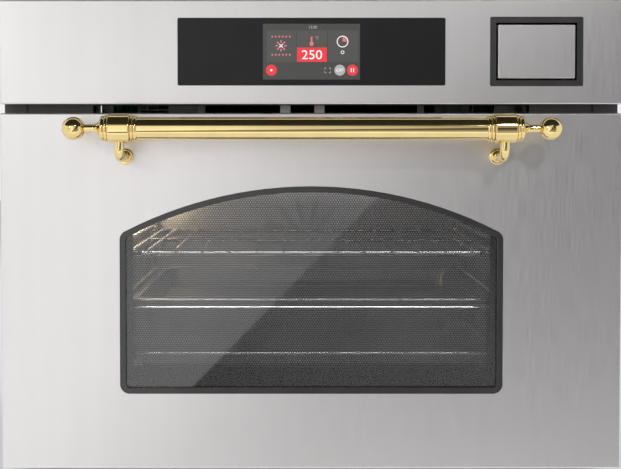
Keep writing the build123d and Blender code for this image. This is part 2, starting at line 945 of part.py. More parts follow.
# Ring heater round the fan; its sheath is drawn six-sided, and its tails leave at the back
ring_y = cavity_back - ring_setback
ring_start = math.asin(ring_tail_x / ring_radius) - math.pi / 2
ring_out = (math.cos(ring_start), 0, math.sin(ring_start))
ring_along = (-math.sin(ring_start), 0, math.cos(ring_start))
ring_origin = (ring_radius * ring_out[0], ring_y, fan_z + ring_radius * ring_out[2])
ring_axis = Axis((0, ring_y, fan_z), (0, -1, 0))
with BuildPart() as ring_element:
    with BuildSketch(Plane(origin=ring_origin, x_dir=ring_out, z_dir=ring_along)):
        RegularPolygon(heater_radius, 6)
    revolve(axis=ring_axis, revolution_arc=360 - 2 * (90 + math.degrees(ring_start)))
    with BuildSketch(front_plane(ring_y - heater_radius)):
        for side in (-1, 1):
            disc(side * ring_tail_x, ring_low, heater_radius)
    extrude(amount=-(wool_back - ring_y + heater_radius))
ring_element.part.label = "ring_element"
export_step(ring_element.part, "parts/ring_element.step")

# Grill heater: one tube bent in a flat loop, whose tails leave through the ceiling
grill_z = cavity_ceiling - grill_drop
grill_tail_top = cavity_ceiling + grill_tail_rise
with BuildPart() as grill_element:
    with BuildLine() as grill_path:
        FilletPolyline(
            (-grill_tail_x, grill_back, grill_tail_top),
            (-grill_tail_x, grill_back, grill_z),
            (-grill_half_width, grill_back, grill_z),
            (-grill_half_width, grill_front, grill_z),
            (-grill_inner_half, grill_front, grill_z),
            (-grill_inner_half, grill_inner_front, grill_z),
            (grill_inner_half, grill_inner_front, grill_z),
            (grill_inner_half, grill_front, grill_z),
            (grill_half_width, grill_front, grill_z),
            (grill_half_width, grill_back, grill_z),
            (grill_tail_x, grill_back, grill_z),
            (grill_tail_x, grill_back, grill_tail_top),
            radius=grill_bend,
        )
    with BuildSketch(Plane(origin=grill_path.line @ 0, z_dir=grill_path.line % 0)):
        Circle(heater_radius)
    sweep()
grill_element.part.label = "grill_element"
export_step(grill_element.part, "parts/grill_element.step")

# Lamp behind a glass in the left wall
with BuildPart() as lamp_glass:
    with BuildSketch(side_plane(-cavity_half)):
        with Locations((lamp_y, lamp_z)):
            edge = lamp_window + 2 * lamp_glass_lap
            RectangleRounded(edge, edge, lamp_glass_corner)
    extrude(amount=lamp_glass_thickness)
lamp_glass.part.label = "lamp_glass"
export_step(lamp_glass.part, "parts/lamp_glass.step")

with BuildPart() as lamp_unit:
    with BuildSketch(side_plane(-liner_half)):
        with Locations((lamp_y, lamp_z)):
            Rectangle(lamp_window + 2 * lamp_flange, lamp_window + 2 * lamp_flange)
    extrude(amount=-lamp_flange_sheet)
    with BuildSketch(side_plane(-liner_half)):
        with Locations((lamp_y, lamp_z)):
            edge = lamp_window - 2 * lamp_body_inset
            Rectangle(edge, edge)
    extrude(amount=-lamp_body_depth, taper=lamp_taper)
    with BuildSketch(side_plane(-liner_half)):
        with Locations((lamp_y, lamp_z)):
            edge = lamp_window - 2 * (lamp_body_inset + lamp_wall)
            Rectangle(edge, edge)
    bowl_depth = lamp_body_depth - lamp_back_wall
    extrude(amount=-bowl_depth, taper=lamp_taper, mode=Mode.SUBTRACT)
    with BuildSketch(side_plane(-liner_half - bowl_depth)):
        disc(lamp_y, lamp_z, lamp_bulb_radius)
    extrude(amount=bowl_depth - lamp_back_wall)
    bulb_rim = lamp_unit.edges().filter_by(GeomType.CIRCLE).sort_by(Axis.X)[-1]
    fillet(bulb_rim, lamp_bulb_tip)
lamp_unit.part.label = "lamp_unit"
export_step(lamp_unit.part, "parts/lamp_unit.step")

# Side racks: two posts with pegs to the wall, and for each of three levels a wire bent
# round at the back, so that a tray's rim slides in from the front between its two legs
rail_levels = [cavity_floor + first_rail + rail_pitch * level for level in range(3)]
peg_low = cavity_floor + cavity_corner + rack_rod + peg_foot_margin
peg_high = cavity_floor + rack_foot + rack_top - peg_head_margin
for side, name in ((-1, "rack_left"), (1, "rack_right")):
    with BuildPart() as rack:
        for post_y in (rack_post_front, rack_post_back):
            with BuildSketch(level_plane(cavity_floor + rack_foot)):
                disc(side * rack_x, post_y, rack_rod)
            extrude(amount=rack_top)
            for peg_z in (peg_low, peg_high):
                with BuildSketch(side_plane(side * rack_x)):
                    disc(post_y, peg_z, rack_rod)
                extrude(amount=side * (cavity_half - rack_x))
        for rail_z in rail_levels:
            with BuildLine(side_plane(side * rack_rail_x)) as rail_path:
                FilletPolyline(
                    (rail_front, rail_z),
                    (rail_back, rail_z),
                    (rail_back, rail_z + upper_rail_rise),
                    (rail_front, rail_z + upper_rail_rise),
                    radius=rail_bend,
                )
            with BuildSketch(Plane(origin=rail_path.line @ 0, z_dir=rail_path.line % 0)):
                Circle(rail_rod)
            sweep(path=rail_path.line)
    rack.part.label = name
    export_step(rack.part, f"parts/{name}.step")

# Wire shelf on the top level: a bent frame with wires that run from front to back on it
shelf_seat = rail_rod + shelf_rod + support_gap
shelf_rise = math.sqrt(shelf_seat**2 - (rack_rail_x - shelf_half_width) ** 2)
shelf_z = rail_levels[2] + shelf_rise
shelf_back = shelf_front + shelf_depth
wire_z = shelf_z + shelf_rod + shelf_wire - shelf_weld
with BuildPart() as wire_shelf:
    with BuildLine(level_plane(shelf_z)) as shelf_path:
        FilletPolyline(
            (shelf_half_width, shelf_front),
            (shelf_half_width, shelf_back),
            (-shelf_half_width, shelf_back),
            (-shelf_half_width, shelf_front),
            close=True,
            radius=shelf_corner,
        )
    with BuildSketch(Plane(origin=shelf_path.line @ 0, z_dir=shelf_path.line % 0)):
        Circle(shelf_rod)
    sweep()
    with BuildSketch(front_plane(shelf_front - shelf_rod)):
        with Locations((0, wire_z)):
            with GridLocations(shelf_wire_pitch, 0, shelf_wire_count, 1):
                Circle(shelf_wire)
    extrude(amount=-(shelf_depth + 2 * shelf_rod))
    with BuildSketch(side_plane(-shelf_half_width)):
        disc(shelf_front + shelf_depth / 2, shelf_z + shelf_cross_rise, shelf_cross_rod)
    extrude(amount=2 * shelf_half_width)
wire_shelf.part.label = "wire_shelf"
export_step(wire_shelf.part, "parts/wire_shelf.step")

# Two trays: a pan with sloped walls and a turned down rim that stands on the rails
tray_back = tray_front + tray_length
for level, name in ((1, "baking_tray_upper"), (0, "baking_tray_lower")):
    rim_low = rail_levels[level] + rail_rod + support_gap
    rim_top = rim_low + tray_rim_height
    inset = tray_rim_width
    slope = tray_depth * math.tan(math.radians(tray_taper))
    with BuildPart() as tray:
        floor_half = tray_half_width - inset - slope
        floor_corner = tray_corner - inset
        floor_low = tray_front + inset + slope
        floor_high = tray_back - inset - slope
        with BuildSketch(level_plane(rim_top - tray_depth)):
            span(-floor_half, floor_half, floor_low, floor_high, floor_corner)
        extrude(amount=tray_depth, taper=-tray_taper)
        with BuildSketch(level_plane(rim_top - tray_depth + tray_sheet)):
            half = floor_half - tray_sheet
            low = floor_low + tray_sheet
            high = floor_high - tray_sheet
            span(-half, half, low, high, floor_corner - tray_sheet)
        extrude(amount=tray_depth, taper=-tray_taper, mode=Mode.SUBTRACT)
        with BuildSketch(level_plane(rim_top)):
            span(-tray_half_width, tray_half_width, tray_front, tray_back, tray_corner)
            inner = tray_half_width - inset - tray_sheet
            low = tray_front + inset + tray_sheet
            high = tray_back - inset - tray_sheet
            span(-inner, inner, low, high, floor_corner + slope / 3, Mode.SUBTRACT)
        extrude(amount=-tray_sheet)
        with BuildSketch(level_plane(rim_low)):
            span(-tray_half_width, tray_half_width, tray_front, tray_back, tray_corner)
            inner = tray_half_width - tray_sheet
            low = tray_front + tray_sheet
            high = tray_back - tray_sheet
            span(-inner, inner, low, high, tray_corner - tray_sheet, Mode.SUBTRACT)
        extrude(amount=tray_rim_height)
    tray.part.label = name
    export_step(tray.part, f"parts/{name}.step")

# Electronics shelf over the cavity, open where the microwave feed comes up
with BuildPart() as component_shelf:
    with BuildSketch(level_plane(shelf_height)):
        span(-case_inner, case_inner, frame_back, case_depth - case_sheet)
        left = magnetron_x - magnetron_width / 2 - magnetron_room
        right = magnetron_x + magnetron_width / 2 + magnetron_room
        half = magnetron_length / 2 + magnetron_room
        span(left, right, port_y - half, port_y + half, 0, Mode.SUBTRACT)
        disc(0, port_y, stirrer_motor_radius + stirrer_motor_room, Mode.SUBTRACT)
        disc(boiler_x, boiler_y, hose_radius + hose_room, Mode.SUBTRACT)
    extrude(amount=case_sheet)
    for edge_y in (frame_back, case_depth - 2 * case_sheet):
        with BuildSketch(front_plane(edge_y)):
            for side in (-1, 1):
                outer = side * (case_inner - shelf_fold_margin)
                inner = outer - side * shelf_fold_length
                span(inner, outer, shelf_top, shelf_top + shelf_fold_height)
        extrude(amount=-case_sheet)
component_shelf.part.label = "component_shelf"
export_step(component_shelf.part, "parts/component_shelf.step")

# Waveguide on the cavity's ceiling, with the stirrer over its port
guide_low = cavity_ceiling + liner_sheet + guide_gap
guide_top = guide_low + guide_height
with BuildPart() as waveguide:
    with BuildSketch(level_plane(guide_low)):
        half = guide_width / 2
        span(guide_left, guide_right, port_y - half, port_y + half, guide_corner)
    extrude(amount=guide_height)
    with BuildSketch(level_plane(guide_low + guide_sheet)):
        half = guide_width / 2 - guide_sheet
        left = guide_left + guide_sheet
        right = guide_right - guide_sheet
        span(left, right, port_y - half, port_y + half, guide_corner - guide_sheet)
    extrude(amount=guide_height - 2 * guide_sheet, mode=Mode.SUBTRACT)
    with BuildSketch(level_plane(guide_low)):
        disc(0, port_y, port_radius)
    extrude(amount=guide_sheet, mode=Mode.SUBTRACT)
    with BuildSketch(level_plane(guide_top)):
        disc(magnetron_x, port_y, antenna_hole_radius)
        disc(0, port_y, stirrer_shaft_radius + shaft_hole_fit)
    extrude(amount=-guide_sheet, mode=Mode.SUBTRACT)
waveguide.part.label = "waveguide"
export_step(waveguide.part, "parts/waveguide.step")

with BuildPart() as waveguide_cover:
    with BuildSketch(level_plane(cavity_ceiling)):
        disc(0, port_y, port_cover_radius)
    extrude(amount=-port_cover_thickness)
    with BuildSketch(level_plane(cavity_ceiling)):
        disc(0, port_y, cover_stud_radius)
    extrude(amount=-(port_cover_thickness + cover_stud_length))
waveguide_cover.part.label = "waveguide_cover"
export_step(waveguide_cover.part, "parts/waveguide_cover.step")

stirrer_z = guide_low + stirrer_rise
with BuildPart() as mode_stirrer:
    with BuildSketch(level_plane(stirrer_z)):
        disc(0, port_y, stirrer_hub_radius)
        with Locations((0, port_y)):
            with PolarLocations(stirrer_blade_radius / 2, stirrer_blade_count):
                Rectangle(stirrer_blade_radius, stirrer_blade_width)
    extrude(amount=stirrer_blade_sheet)
    with BuildSketch(level_plane(stirrer_z)):
        with Locations((0, port_y)):
            with PolarLocations(stirrer_blade_radius - stirrer_fin_inset, stirrer_blade_count):
                Rectangle(stirrer_blade_sheet, stirrer_blade_width)
    extrude(amount=stirrer_fin_height)
    with BuildSketch(level_plane(stirrer_z)):
        disc(0, port_y, stirrer_shaft_radius)
    extrude(amount=guide_top - stirrer_z + stirrer_shaft_grip)
mode_stirrer.part.label = "mode_stirrer"
export_step(mode_stirrer.part, "parts/mode_stirrer.step")

with BuildPart() as stirrer_motor:
    with BuildSketch(level_plane(guide_top)):
        disc(0, port_y, stirrer_motor_radius)
    extrude(amount=stirrer_motor_height)
    chamfer(stirrer_motor.edges().sort_by(Axis.Z)[-1], motor_chamfer)
    with BuildSketch(level_plane(guide_top)):
        disc(0, port_y, stirrer_shaft_radius + shaft_fit)
    extrude(amount=stirrer_shaft_grip + shaft_end_room, mode=Mode.SUBTRACT)
stirrer_motor.part.label = "stirrer_motor"
export_step(stirrer_motor.part, "parts/stirrer_motor.step")

with BuildPart() as magnetron:
    with BuildSketch(level_plane(guide_top)):
        with Locations((magnetron_x, port_y)):
            Rectangle(magnetron_width, magnetron_length)
    extrude(amount=magnetron_sheet)
    with BuildSketch(level_plane(guide_top)):
        disc(magnetron_x, port_y, antenna_radius)
    extrude(amount=-antenna_length)
    fillet(magnetron.faces().sort_by(Axis.Z)[0].edges(), antenna_tip)
    with BuildSketch(level_plane(guide_top)):
        disc(magnetron_x, port_y, anode_radius)
    extrude(amount=magnetron_height)
    for fin in range(cooling_fin_count):
        with BuildSketch(level_plane(guide_top + cooling_fin_start + cooling_fin_pitch * fin)):
            with Locations((magnetron_x, port_y)):
                width = magnetron_width - 2 * cooling_fin_inset
                Rectangle(width, magnetron_length - 2 * cooling_fin_inset)
        extrude(amount=cooling_fin_sheet)
    with BuildSketch(front_plane(port_y - yoke_length / 2)):
        half = magnetron_width / 2
        yoke_top = guide_top + magnetron_height
        span(magnetron_x - half, magnetron_x + half, guide_top, yoke_top)
        inner = half - magnetron_sheet
        low = guide_top + magnetron_sheet
        high = yoke_top - magnetron_sheet
        span(magnetron_x - inner, magnetron_x + inner, low, high, 0, Mode.SUBTRACT)
    extrude(amount=-yoke_length)
    with BuildSketch(level_plane(yoke_top)):
        with Locations((magnetron_x, port_y)):
            Rectangle(filter_width, filter_length)
    extrude(amount=filter_height)
magnetron.part.label = "magnetron"
export_step(magnetron.part, "parts/magnetron.step")

with BuildPart() as inverter_unit:
    with BuildSketch(level_plane(shelf_top)):
        with Locations((inverter_x, inverter_y)):
            pitch = inverter_side - 2 * inverter_foot_inset
            with GridLocations(pitch, pitch, 2, 2):
                Circle(inverter_foot_radius)
    extrude(amount=inverter_foot_height)
    with BuildSketch(level_plane(shelf_top + inverter_foot_height)):
        with Locations((inverter_x, inverter_y)):
            Rectangle(inverter_side, inverter_side)
    extrude(amount=board_thickness)
    board_top = shelf_top + inverter_foot_height + board_thickness
    with BuildSketch(level_plane(board_top)):
        across, along = transformer_place
        with Locations((inverter_x + across, inverter_y + along)):
            Rectangle(*transformer_size)
    extrude(amount=transformer_height)
    with BuildSketch(level_plane(board_top)):
        with Locations((inverter_x + heat_sink_offset, inverter_y)):
            Rectangle(heat_sink_plate, heat_sink_length)
            with Locations(((heat_sink_fin_depth - heat_sink_plate / 2) / 2, 0)):
                with GridLocations(0, heat_sink_fin_pitch, 1, heat_sink_fin_count):
                    Rectangle(heat_sink_fin_depth, heat_sink_fin_sheet)
    extrude(amount=heat_sink_height)
    with BuildSketch(level_plane(board_top)):
        across, along = capacitor_place
        disc(inverter_x + across, inverter_y + along, capacitor_radius)
    extrude(amount=capacitor_height)
inverter_unit.part.label = "inverter_unit"
export_step(inverter_unit.part, "parts/inverter_unit.step")

# Blower

scroll_radius = rotor_radius + scroll_gap
scroll_foot = blower_z - scroll_radius
throat_y = blower_y - throat_setback
with BuildPart() as blower_housing:
    with BuildSketch(side_plane(blower_left)):
        with BuildLine() as scroll_line:
            floor_line = Line((frame_back + front_gap, duct_floor), (blower_y, scroll_foot))
            JernArc(floor_line @ 1, floor_line % 1, scroll_radius, scroll_turn)
        trace(line_width=scroll_sheet)
        with BuildLine():
            FilletPolyline(
                (frame_back + front_gap, duct_roof),
                (throat_y, duct_roof),
                (throat_y + throat_lip_length, duct_roof + throat_lip_rise),
                radius=throat_bend,
            )
        trace(line_width=scroll_sheet)
    extrude(amount=blower_right - blower_left)
    for plate_x in (blower_left, blower_right - blower_plate):
        with BuildSketch(side_plane(plate_x)):
            with BuildLine():
                Polyline(
                    (frame_back + front_gap, duct_floor),
                    (frame_back + front_gap, duct_roof),
                    (throat_y, duct_roof),
                    (blower_y - plate_shoulder, blower_z + scroll_radius),
                    (blower_y + scroll_radius, blower_z + scroll_radius),
                    (blower_y + scroll_radius, shelf_top),
                    (blower_y - plate_foot, shelf_top),
                    close=True,
                )
            make_face()
            disc(blower_y, blower_z, rotor_shaft_radius + front_gap, Mode.SUBTRACT)
        extrude(amount=blower_plate)
blower_housing.part.label = "blower_housing"
export_step(blower_housing.part, "parts/blower_housing.step")

rotor_left = blower_left + blower_plate + rotor_end_gap
rotor_right = blower_right - blower_plate - rotor_end_gap
rotor_length = rotor_right - rotor_left
with BuildPart() as blower_rotor:
    blade_circle = rotor_radius - rotor_blade_depth / 2 - rotor_blade_inset
    with BuildSketch(side_plane(rotor_left)):
        with Locations((blower_y, blower_z)):
            with PolarLocations(blade_circle, rotor_blade_count):
                with Locations(Location((0, 0, 0), (0, 0, rotor_blade_tilt))):
                    Rectangle(rotor_blade_depth, rotor_blade_thickness)
    extrude(amount=rotor_length)
    for disc_x in (rotor_left, (rotor_left + rotor_right - rotor_disc) / 2, rotor_right - rotor_disc):
        with BuildSketch(side_plane(disc_x)):
            disc(blower_y, blower_z, rotor_radius)
        extrude(amount=rotor_disc)
    with BuildSketch(side_plane(blower_left - blower_motor_length / 2)):
        disc(blower_y, blower_z, rotor_shaft_radius)
    extrude(amount=blower_right - blower_left + blower_motor_length / 2 + shaft_end_room)
blower_rotor.part.label = "blower_rotor"
export_step(blower_rotor.part, "parts/blower_rotor.step")

with BuildPart() as blower_motor:
    with BuildSketch(side_plane(blower_left)):
        disc(blower_y, blower_z, blower_motor_radius)
        half = blower_motor_foot_half_width
        span(blower_y - half, blower_y + half, shelf_top, blower_z)
    extrude(amount=-blower_motor_length)
    chamfer(blower_motor.edges().filter_by(GeomType.CIRCLE), motor_chamfer)
    with BuildSketch(side_plane(blower_left)):
        disc(blower_y, blower_z, rotor_shaft_radius + shaft_fit)
    extrude(amount=-(blower_motor_length / 2 + shaft_end_room), mode=Mode.SUBTRACT)
blower_motor.part.label = "blower_motor"
export_step(blower_motor.part, "parts/blower_motor.step")

# Grille in the slot between the door and the control panel, with its duct to the frame
grille_front = skin_back_y + front_gap
duct_half = vent_half + grille_wall
with BuildPart() as vent_grille:
    with BuildSketch(front_plane(grille_front)):
        half = half_front - grille_end_margin
        span(-half, half, door_top - grille_lap, panel_bottom + grille_lap)
        span(-vent_half, vent_half, vent_floor, vent_roof, 0, Mode.SUBTRACT)
        for rib_x, rib_width in grille_ribs:
            span(rib_x - rib_width / 2, rib_x + rib_width / 2, vent_floor, vent_roof)
    extrude(amount=-grille_plate)
    with BuildSketch(front_plane(grille_front + grille_plate)):
        span(-duct_half, duct_half, vent_floor - grille_wall, vent_roof + grille_wall)
        span(-vent_half, vent_half, vent_floor, vent_roof, 0, Mode.SUBTRACT)
    extrude(amount=-(frame_setback - grille_front - grille_plate))
vent_grille.part.label = "vent_grille"
export_step(vent_grille.part, "parts/vent_grille.step")

# Control panel

with BuildPart() as control_panel:
    add(folded_front(panel_bottom, panel_top))
    with BuildSketch(front_plane(face_y)):
        with Locations((0, display_z)):
            width = display_width + 2 * display_fit
            height = display_height + 2 * display_fit
            RectangleRounded(width, height, display_corner)
        with Locations((tank_x, bezel_z)):
            width = bezel_width + 2 * display_fit
            height = bezel_height + 2 * display_fit
            RectangleRounded(width, height, bezel_corner)
    extrude(amount=-skin_sheet, mode=Mode.SUBTRACT)
control_panel.part.label = "control_panel"
export_step(control_panel.part, "parts/control_panel.step")

with BuildPart() as display_glass:
    with BuildSketch(front_plane(face_y)):
        with Locations((0, display_z)):
            RectangleRounded(display_width, display_height, display_corner)
    extrude(amount=-display_thickness)
display_glass.part.label = "display_glass"
export_step(display_glass.part, "parts/display_glass.step")

# Moulded carrier that holds the fascia, its glass and the board to the front frame
glass_back = face_y + display_thickness
carrier_low = panel_bottom + carrier_margin
carrier_high = panel_top - carrier_margin
board_half_height = display_height / 2 + board_overhang
board_half_width = display_width / 2 - board_end_inset
with BuildPart() as panel_carrier:
    with BuildSketch(front_plane(skin_inner_y)):
        span(carrier_left, carrier_right, carrier_low, carrier_high, carrier_corner)
    extrude(amount=-(carrier_plate + carrier_rim))
    with BuildSketch(front_plane(skin_inner_y + carrier_plate)):
        span(
            carrier_left + carrier_wall,
            carrier_right - carrier_wall,
            carrier_low + carrier_wall,
            carrier_high - carrier_wall,
            carrier_corner - carrier_wall,
        )
    extrude(amount=-carrier_rim, mode=Mode.SUBTRACT)
    with BuildSketch(front_plane(skin_inner_y)):
        with Locations((0, display_z)):
            Rectangle(display_width + 2 * display_fit, display_height + 2 * display_fit)
    extrude(amount=-(glass_back - skin_inner_y), mode=Mode.SUBTRACT)
    with BuildSketch(front_plane(skin_inner_y)):
        with Locations((0, display_z)):
            Rectangle(display_width - 2 * display_ledge, display_height - 2 * display_ledge)
    extrude(amount=-carrier_plate, mode=Mode.SUBTRACT)
    with BuildSketch(front_plane(skin_inner_y + carrier_plate)):
        with Locations((0, display_z)):
            boss_pitch_x = 2 * (board_half_width - carrier_boss_side_inset)
            boss_pitch_z = 2 * (board_half_height - carrier_boss_edge_inset)
            with GridLocations(boss_pitch_x, boss_pitch_z, 2, 2):
                Circle(carrier_boss_radius)
    extrude(amount=-board_gap)
    with BuildSketch(front_plane(skin_inner_y + carrier_plate)):
        for leg_x in (carrier_left + carrier_leg_inset, carrier_right - carrier_leg_inset):
            for leg_z in (carrier_low + carrier_leg_inset, carrier_high - carrier_leg_inset):
                disc(leg_x, leg_z, carrier_leg_radius)
    extrude(amount=-(frame_setback - skin_inner_y - carrier_plate))
panel_carrier.part.label = "panel_carrier"
export_step(panel_carrier.part, "parts/panel_carrier.step")

# Control board, with the display module soldered on its front
board_front = skin_inner_y + carrier_plate + board_gap
with BuildPart() as control_board:
    with BuildSketch(front_plane(board_front)):
        with Locations((0, display_z)):
            Rectangle(2 * board_half_width, 2 * board_half_height)
    extrude(amount=-board_thickness)
    with BuildSketch(front_plane(glass_back + front_gap)):
        with Locations((0, display_z)):
            width = screen_width + 2 * screen_frame_side
            Rectangle(width, screen_height + 2 * screen_frame_edge)
    extrude(amount=-(board_front - glass_back - front_gap))
    with BuildSketch(front_plane(board_front + board_thickness)):
        for across, up, width, height in board_chips:
            with Locations((across, display_z + up)):
                Rectangle(width, height)
    extrude(amount=-chip_height)
control_board.part.label = "control_board"
export_step(control_board.part, "parts/control_board.step")

# Water tank

with BuildPart() as tank_bezel:
    with BuildSketch(front_plane(face_y)):
        with Locations((tank_x, bezel_z)):
            RectangleRounded(bezel_width, bezel_height, bezel_corner)
    extrude(amount=-skin_sheet)
    with BuildSketch(front_plane(skin_inner_y)):
        with Locations((tank_x, bezel_z)):
            Rectangle(bezel_width + 2 * bezel_flange, bezel_height + 2 * bezel_flange)
    extrude(amount=-bezel_wall)
    with BuildSketch(front_plane(skin_inner_y)):
        with Locations((tank_x, bezel_z)):
            width = bezel_mouth_width + 2 * bezel_wall
            height = bezel_mouth_height + 2 * bezel_wall
            RectangleRounded(width, height, bezel_corner)
    extrude(amount=-(frame_back - skin_inner_y))
    with BuildSketch(front_plane(face_y)):
        with Locations((tank_x, bezel_z)):
            Rectangle(bezel_mouth_width, bezel_mouth_height)
    extrude(amount=-(frame_back - face_y), mode=Mode.SUBTRACT)
tank_bezel.part.label = "tank_bezel"
export_step(tank_bezel.part, "parts/tank_bezel.step")

tank_half = tank_width / 2
tank_low = bezel_z - tank_height / 2
tank_high = tank_low + tank_height
tank_start = face_y + tank_front_thickness
tank_end = tank_start + tank_length
spigot_z = tank_low + spigot_rise
socket_radius = spigot_radius + spigot_fit
with BuildPart() as water_tank:
    with BuildSketch(level_plane(tank_low)):
        span(tank_x - tank_half, tank_x + tank_half, tank_start, tank_end, tank_corner)
    extrude(amount=tank_height)
    offset(amount=-tank_wall, openings=water_tank.faces().sort_by(Axis.Z)[-1])
    socket_depth = spigot_length + tank_push + spigot_end_room
    with BuildSketch(front_plane(tank_end - socket_depth - tank_wall)):
        disc(tank_x, spigot_z, socket_radius + tank_wall)
    extrude(amount=-(socket_depth + tank_wall / 2))
    with BuildSketch(front_plane(tank_end - socket_depth)):
        disc(tank_x, spigot_z, socket_radius)
    extrude(amount=-socket_depth, mode=Mode.SUBTRACT)
water_tank.part.label = "water_tank"
export_step(water_tank.part, "parts/water_tank.step")

with BuildPart() as tank_lid:
    with BuildSketch(level_plane(tank_high)):
        span(tank_x - tank_half, tank_x + tank_half, tank_start, tank_end, tank_corner)
        with Locations((tank_x, tank_start + mouth_setback)):
            RectangleRounded(mouth_width, mouth_length, mouth_corner, mode=Mode.SUBTRACT)
    extrude(amount=lid_thickness)
tank_lid.part.label = "tank_lid"
export_step(tank_lid.part, "parts/tank_lid.step")

with BuildPart() as tank_front:
    with BuildSketch(front_plane(face_y)):
        with Locations((tank_x, bezel_z)):
            RectangleRounded(tank_front_width, tank_front_height, tank_front_corner)
    extrude(amount=-tank_front_thickness)
    fillet(tank_front.faces().sort_by(Axis.Y)[0].edges(), tank_front_edge)
    offset(amount=-tank_front_wall, openings=tank_front.faces().sort_by(Axis.Y)[-1])
tank_front.part.label = "tank_front"
export_step(tank_front.part, "parts/tank_front.step")

# Bay: a sleeve on two feet, with the coupling spigot and the push latch on its end wall
bay_floor = tank_low - tank_slide_gap
bay_roof = tank_high + lid_thickness + bay_head_gap
bay_half = tank_half + tank_side_gap
latch_x = tank_x + latch_x_offset
latch_z = spigot_z + latch_rise
bay_end = tank_end + tank_push + bay_end_room
with BuildPart() as tank_bay:
    with BuildSketch(front_plane(frame_back)):
        left = tank_x - bay_half - bay_wall
        right = tank_x + bay_half + bay_wall
        span(left, right, bay_floor - bay_wall, bay_roof + bay_wall, 2)
    extrude(amount=-(bay_end + bay_wall - frame_back))
    with BuildSketch(front_plane(frame_back)):
        span(tank_x - bay_half, tank_x + bay_half, bay_floor, bay_roof)
    extrude(amount=-(bay_end - frame_back), mode=Mode.SUBTRACT)
    for foot_y in (frame_back + bay_foot_inset, bay_end - bay_foot_inset):
        with BuildSketch(front_plane(foot_y)):
            with BuildLine():
                Polyline(
                    (tank_x - bay_foot_half_width, shelf_top),
                    (tank_x + bay_foot_half_width, shelf_top),
                    (tank_x + bay_foot_neck_half_width, bay_floor - bay_wall / 2),
                    (tank_x - bay_foot_neck_half_width, bay_floor - bay_wall / 2),
                    close=True,
                )
            make_face()
            disc(tank_x, (shelf_top + bay_floor) / 2, bay_foot_hole, Mode.SUBTRACT)
        extrude(amount=-bay_foot_sheet)
    with BuildSketch(front_plane(bay_end + bay_wall)):
        disc(tank_x, spigot_z, spigot_radius)
    extrude(amount=spigot_length + bay_wall)
    with BuildSketch(front_plane(bay_end + bay_wall)):
        disc(tank_x, spigot_z, hose_radius)
    extrude(amount=-hose_stub)
    with BuildSketch(front_plane(bay_end + bay_wall + hose_stub)):
        disc(tank_x, spigot_z, spigot_bore)
    extrude(amount=spigot_length + 2 * bay_wall + hose_stub, mode=Mode.SUBTRACT)
    with BuildSketch(front_plane(bay_end + bay_wall)):
        with Locations((latch_x, latch_z)):
            Rectangle(latch_width, latch_height)
    extrude(amount=-latch_length)
    with BuildSketch(front_plane(bay_end + bay_wall)):
        disc(latch_x, latch_z, latch_plunger_radius)
    extrude(amount=bay_end + bay_wall - tank_end - tank_push - front_gap)
tank_bay.part.label = "tank_bay"
export_step(tank_bay.part, "parts/tank_bay.step")

# Pump, boiler and the two hoses between tank, pump and boiler
pump_y = boiler_y
pump_z = shelf_top + pump_height / 2
with BuildPart() as water_pump:
    with BuildSketch(level_plane(shelf_top)):
        with Locations((tank_x, pump_y)):
            RectangleRounded(pump_width, pump_length, pump_corner)
    extrude(amount=pump_height)
    fillet(water_pump.faces().sort_by(Axis.Z)[-1].edges(), pump_edge)
    with BuildSketch(front_plane(pump_y - pump_length / 2)):
        disc(tank_x, pump_z, hose_radius)
    extrude(amount=hose_stub)
    with BuildSketch(side_plane(tank_x + pump_width / 2)):
        disc(pump_y, pump_z, hose_radius)
    extrude(amount=pump_outlet)
water_pump.part.label = "water_pump"
export_step(water_pump.part, "parts/water_pump.step")

boiler_top = boiler_floor + boiler_height
with BuildPart() as steam_boiler:
    with BuildSketch(level_plane(boiler_floor)):
        disc(boiler_x, boiler_y, boiler_radius)
    extrude(amount=boiler_height)
    chamfer(steam_boiler.edges().filter_by(GeomType.CIRCLE), boiler_edge)
    with BuildSketch(level_plane(boiler_top)):
        disc(boiler_x, boiler_y, hose_radius)
    extrude(amount=boiler_stub)
    with BuildSketch(side_plane(boiler_x)):
        disc(boiler_y, steam_z, steam_pipe_radius)
    extrude(amount=cavity_half - boiler_x)
    with BuildSketch(side_plane(cavity_half)):
        disc(boiler_y, steam_z, steam_bore)
    extrude(amount=steam_bore_depth, mode=Mode.SUBTRACT)
    with BuildSketch(side_plane(boiler_x)):
        half = boiler_clamp_half_width
        for start in boiler_clamp_starts:
            low = boiler_floor + start
            span(boiler_y - half, boiler_y + half, low, low + boiler_clamp_height)
    extrude(amount=case_inner - boiler_x)
steam_boiler.part.label = "steam_boiler"
export_step(steam_boiler.part, "parts/steam_boiler.step")

hose_start = bay_end + bay_wall + hose_stub
loop_y = hose_start + feed_loop
pump_side = tank_x + pump_width / 2 + pump_outlet
with BuildPart() as water_hoses:
    with BuildLine() as feed_path:
        FilletPolyline(
            (tank_x, hose_start, spigot_z),
            (tank_x, loop_y, spigot_z),
            (tank_x, loop_y, pump_z),
            (tank_x, pump_y - pump_length / 2 - hose_stub, pump_z),
            radius=feed_bend,
        )
    with BuildSketch(Plane(origin=feed_path.line @ 0, z_dir=feed_path.line % 0)):
        Circle(hose_radius)
    sweep()
    with BuildLine() as steam_path:
        FilletPolyline(
            (pump_side, pump_y, pump_z),
            (boiler_x, pump_y, pump_z),
            (boiler_x, boiler_y, boiler_top + boiler_stub),
            radius=steam_bend,
        )
    with BuildSketch(Plane(origin=steam_path.line @ 0, z_dir=steam_path.line % 0)):
        Circle(hose_radius)
    sweep(path=steam_path.line)
water_hoses.part.label = "water_hoses"
export_step(water_hoses.part, "parts/water_hoses.step")

# Mains connection

